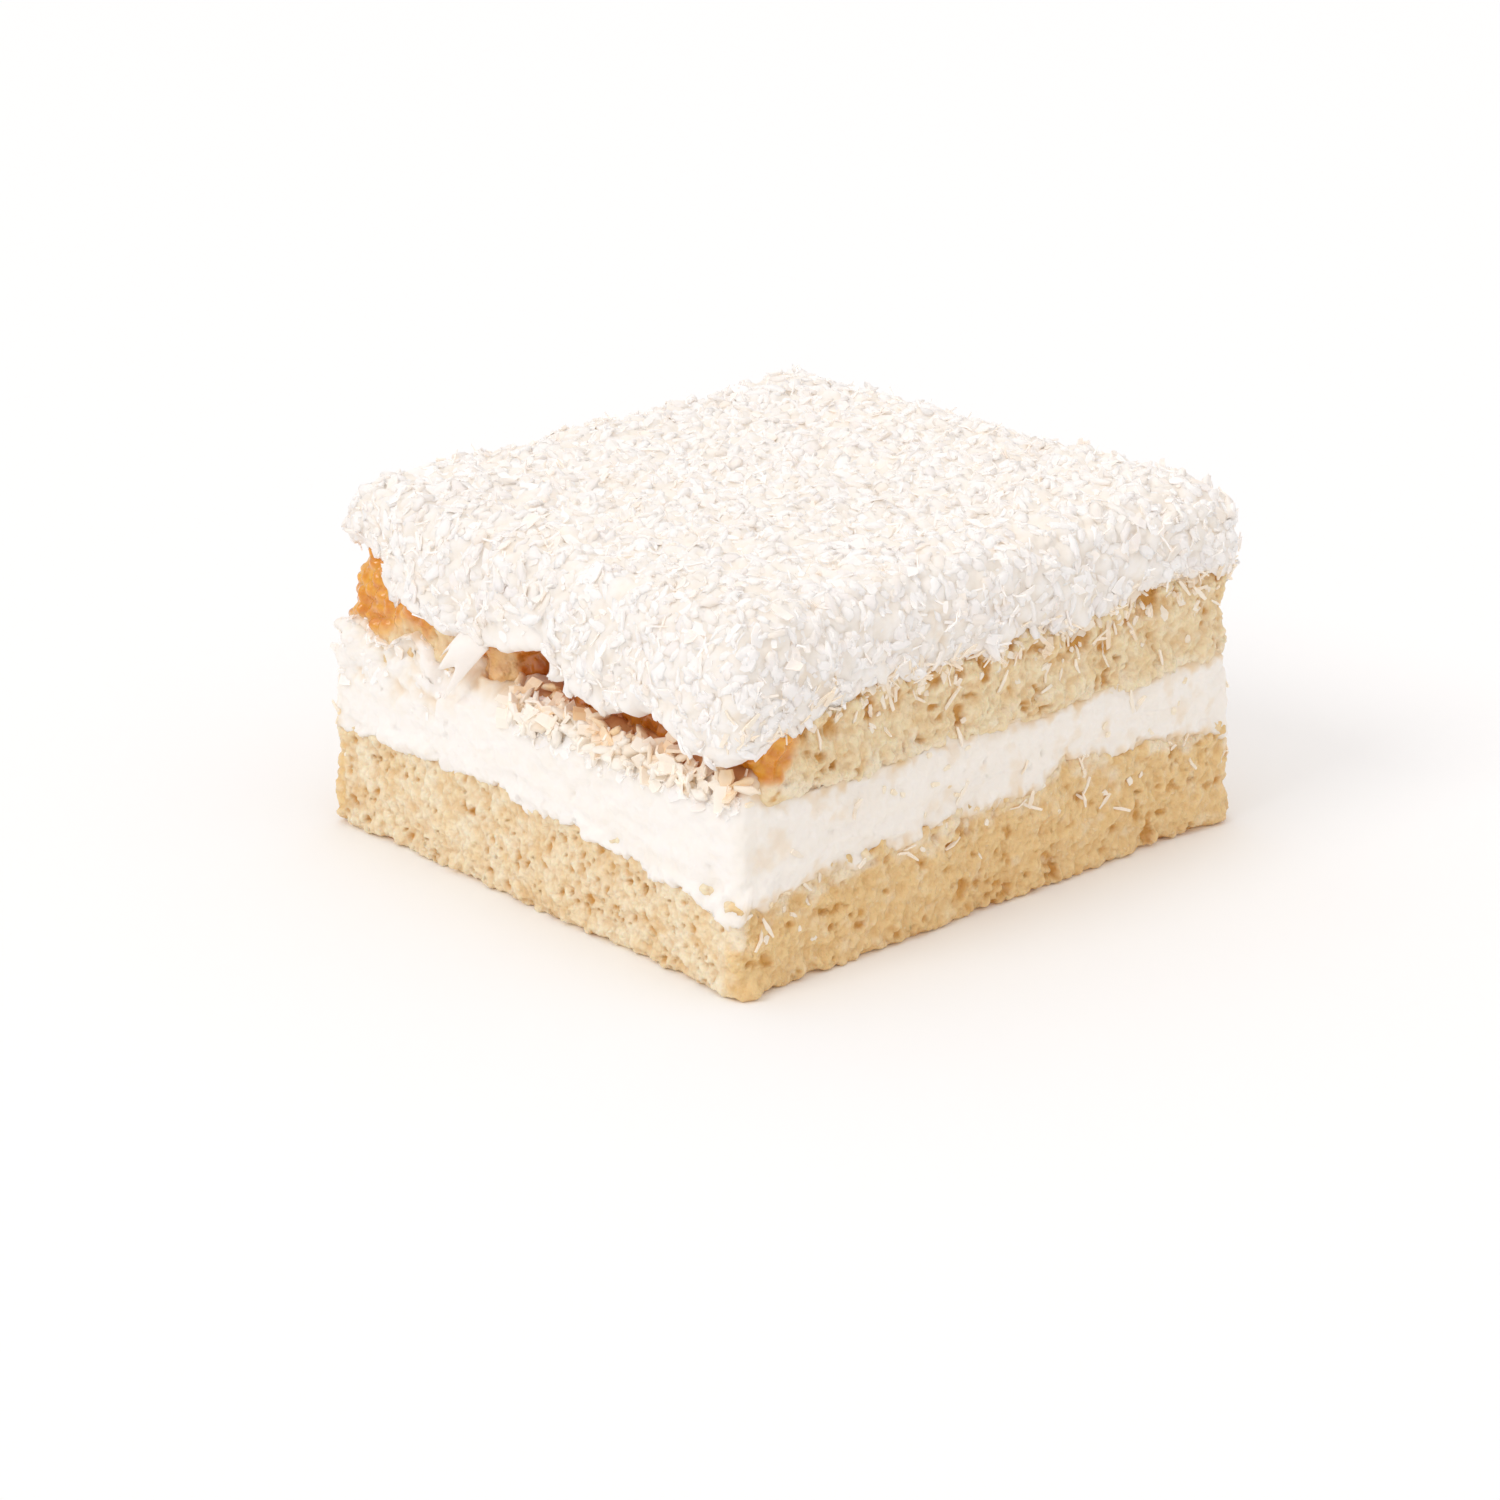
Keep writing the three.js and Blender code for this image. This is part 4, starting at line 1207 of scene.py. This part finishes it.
def add_sun(name, strength, spread, towards, colour):
    """A broad light far off in the direction `towards`, as many degrees wide as `spread`."""
    lamp = bpy.data.lights.new(name, "SUN")
    lamp.energy, lamp.angle, lamp.color = strength, math.radians(spread), colour
    holder = bpy.data.objects.new(name, lamp)
    holder.rotation_mode = "QUATERNION"
    holder.rotation_quaternion = Vector(towards).to_track_quat("Z", "Y")
    bpy.context.scene.collection.objects.link(holder)


def add_camera():
    """The photograph's view: a long lens aimed at a point near the front corner."""
    azimuth, elevation = math.radians(VIEW_ROUND), math.radians(VIEW_ABOVE)
    level = math.cos(elevation)
    back = Vector((math.sin(azimuth) * level, -math.cos(azimuth) * level, math.sin(elevation)))
    lens = bpy.data.cameras.new("camera")
    lens.lens, lens.sensor_width = LENS, SENSOR
    lens.clip_start = 0.01
    camera = bpy.data.objects.new("camera", lens)
    camera.location = (Vector(VIEW_AIM) + back * VIEW_DISTANCE) * MM
    camera.rotation_mode = "QUATERNION"
    camera.rotation_quaternion = (-back).to_track_quat("-Z", "Y")
    bpy.context.scene.collection.objects.link(camera)
    bpy.context.scene.camera = camera


def add_world(colour, strength):
    """Soft warm light from all round, shown without a film look and followed through many bounces, because
    cream and coconut are so pale."""
    world = bpy.data.worlds.new("studio")
    world.use_nodes = True
    sky = world.node_tree.nodes["Background"]
    sky.inputs["Color"].default_value = (*colour, 1)
    sky.inputs["Strength"].default_value = strength
    scene = bpy.context.scene
    scene.world = world
    scene.view_settings.view_transform = "Standard"
    scene.cycles.max_bounces = 16
    scene.cycles.diffuse_bounces = 12


# The finishes of this slice

# The last colour of each sponge is the painted shade of its pores and crevices.
SPONGE = sponge_finish("moist_sponge", srgb(255, 252, 232), srgb(243, 211, 154), srgb(214, 158, 74))
BROWNED = sponge_finish("browned_sponge", srgb(255, 247, 218), srgb(243, 212, 156), srgb(210, 152, 64))
CREAM = cream_finish("whipped_cream", srgb(254, 250, 245), srgb(251, 244, 235))
COCONUT = coconut_finish("coconut_flesh", srgb(253, 252, 251), srgb(249, 241, 231), srgb(247, 243, 241))
SHREDDED = coconut_finish("coconut_damp", srgb(248, 240, 226), srgb(240, 224, 200), srgb(244, 234, 220))
CHIPPED = coconut_finish("coconut_soaked", srgb(254, 248, 238), srgb(246, 215, 170), srgb(247, 224, 192),
                         wet=0.4)
CRUMB = coconut_finish("sponge_crumb", srgb(248, 238, 218), srgb(240, 218, 180), srgb(244, 230, 204))

# The stage, then the slice from its base up

add_camera()
add_world(colour=(1.0, 0.925, 0.88), strength=0.66)
add_floor()
add_sun("overhead", strength=0.95, spread=120, towards=(0, 0, 1), colour=(0.95, 0.98, 1.0))
add_sun("key", strength=0.6, spread=25, towards=(-1, 0.1, 0.9), colour=(1.0, 1.0, 1.0))
base = sponge_base()
upper = sponge_upper()
filling = cream_filling()
topping = cream_topping()
cream_wisp()
coconut_coat(topping)
dragged_shreds(topping, upper, filling, base)
ledge_chips(filling)
crumbs(filling)
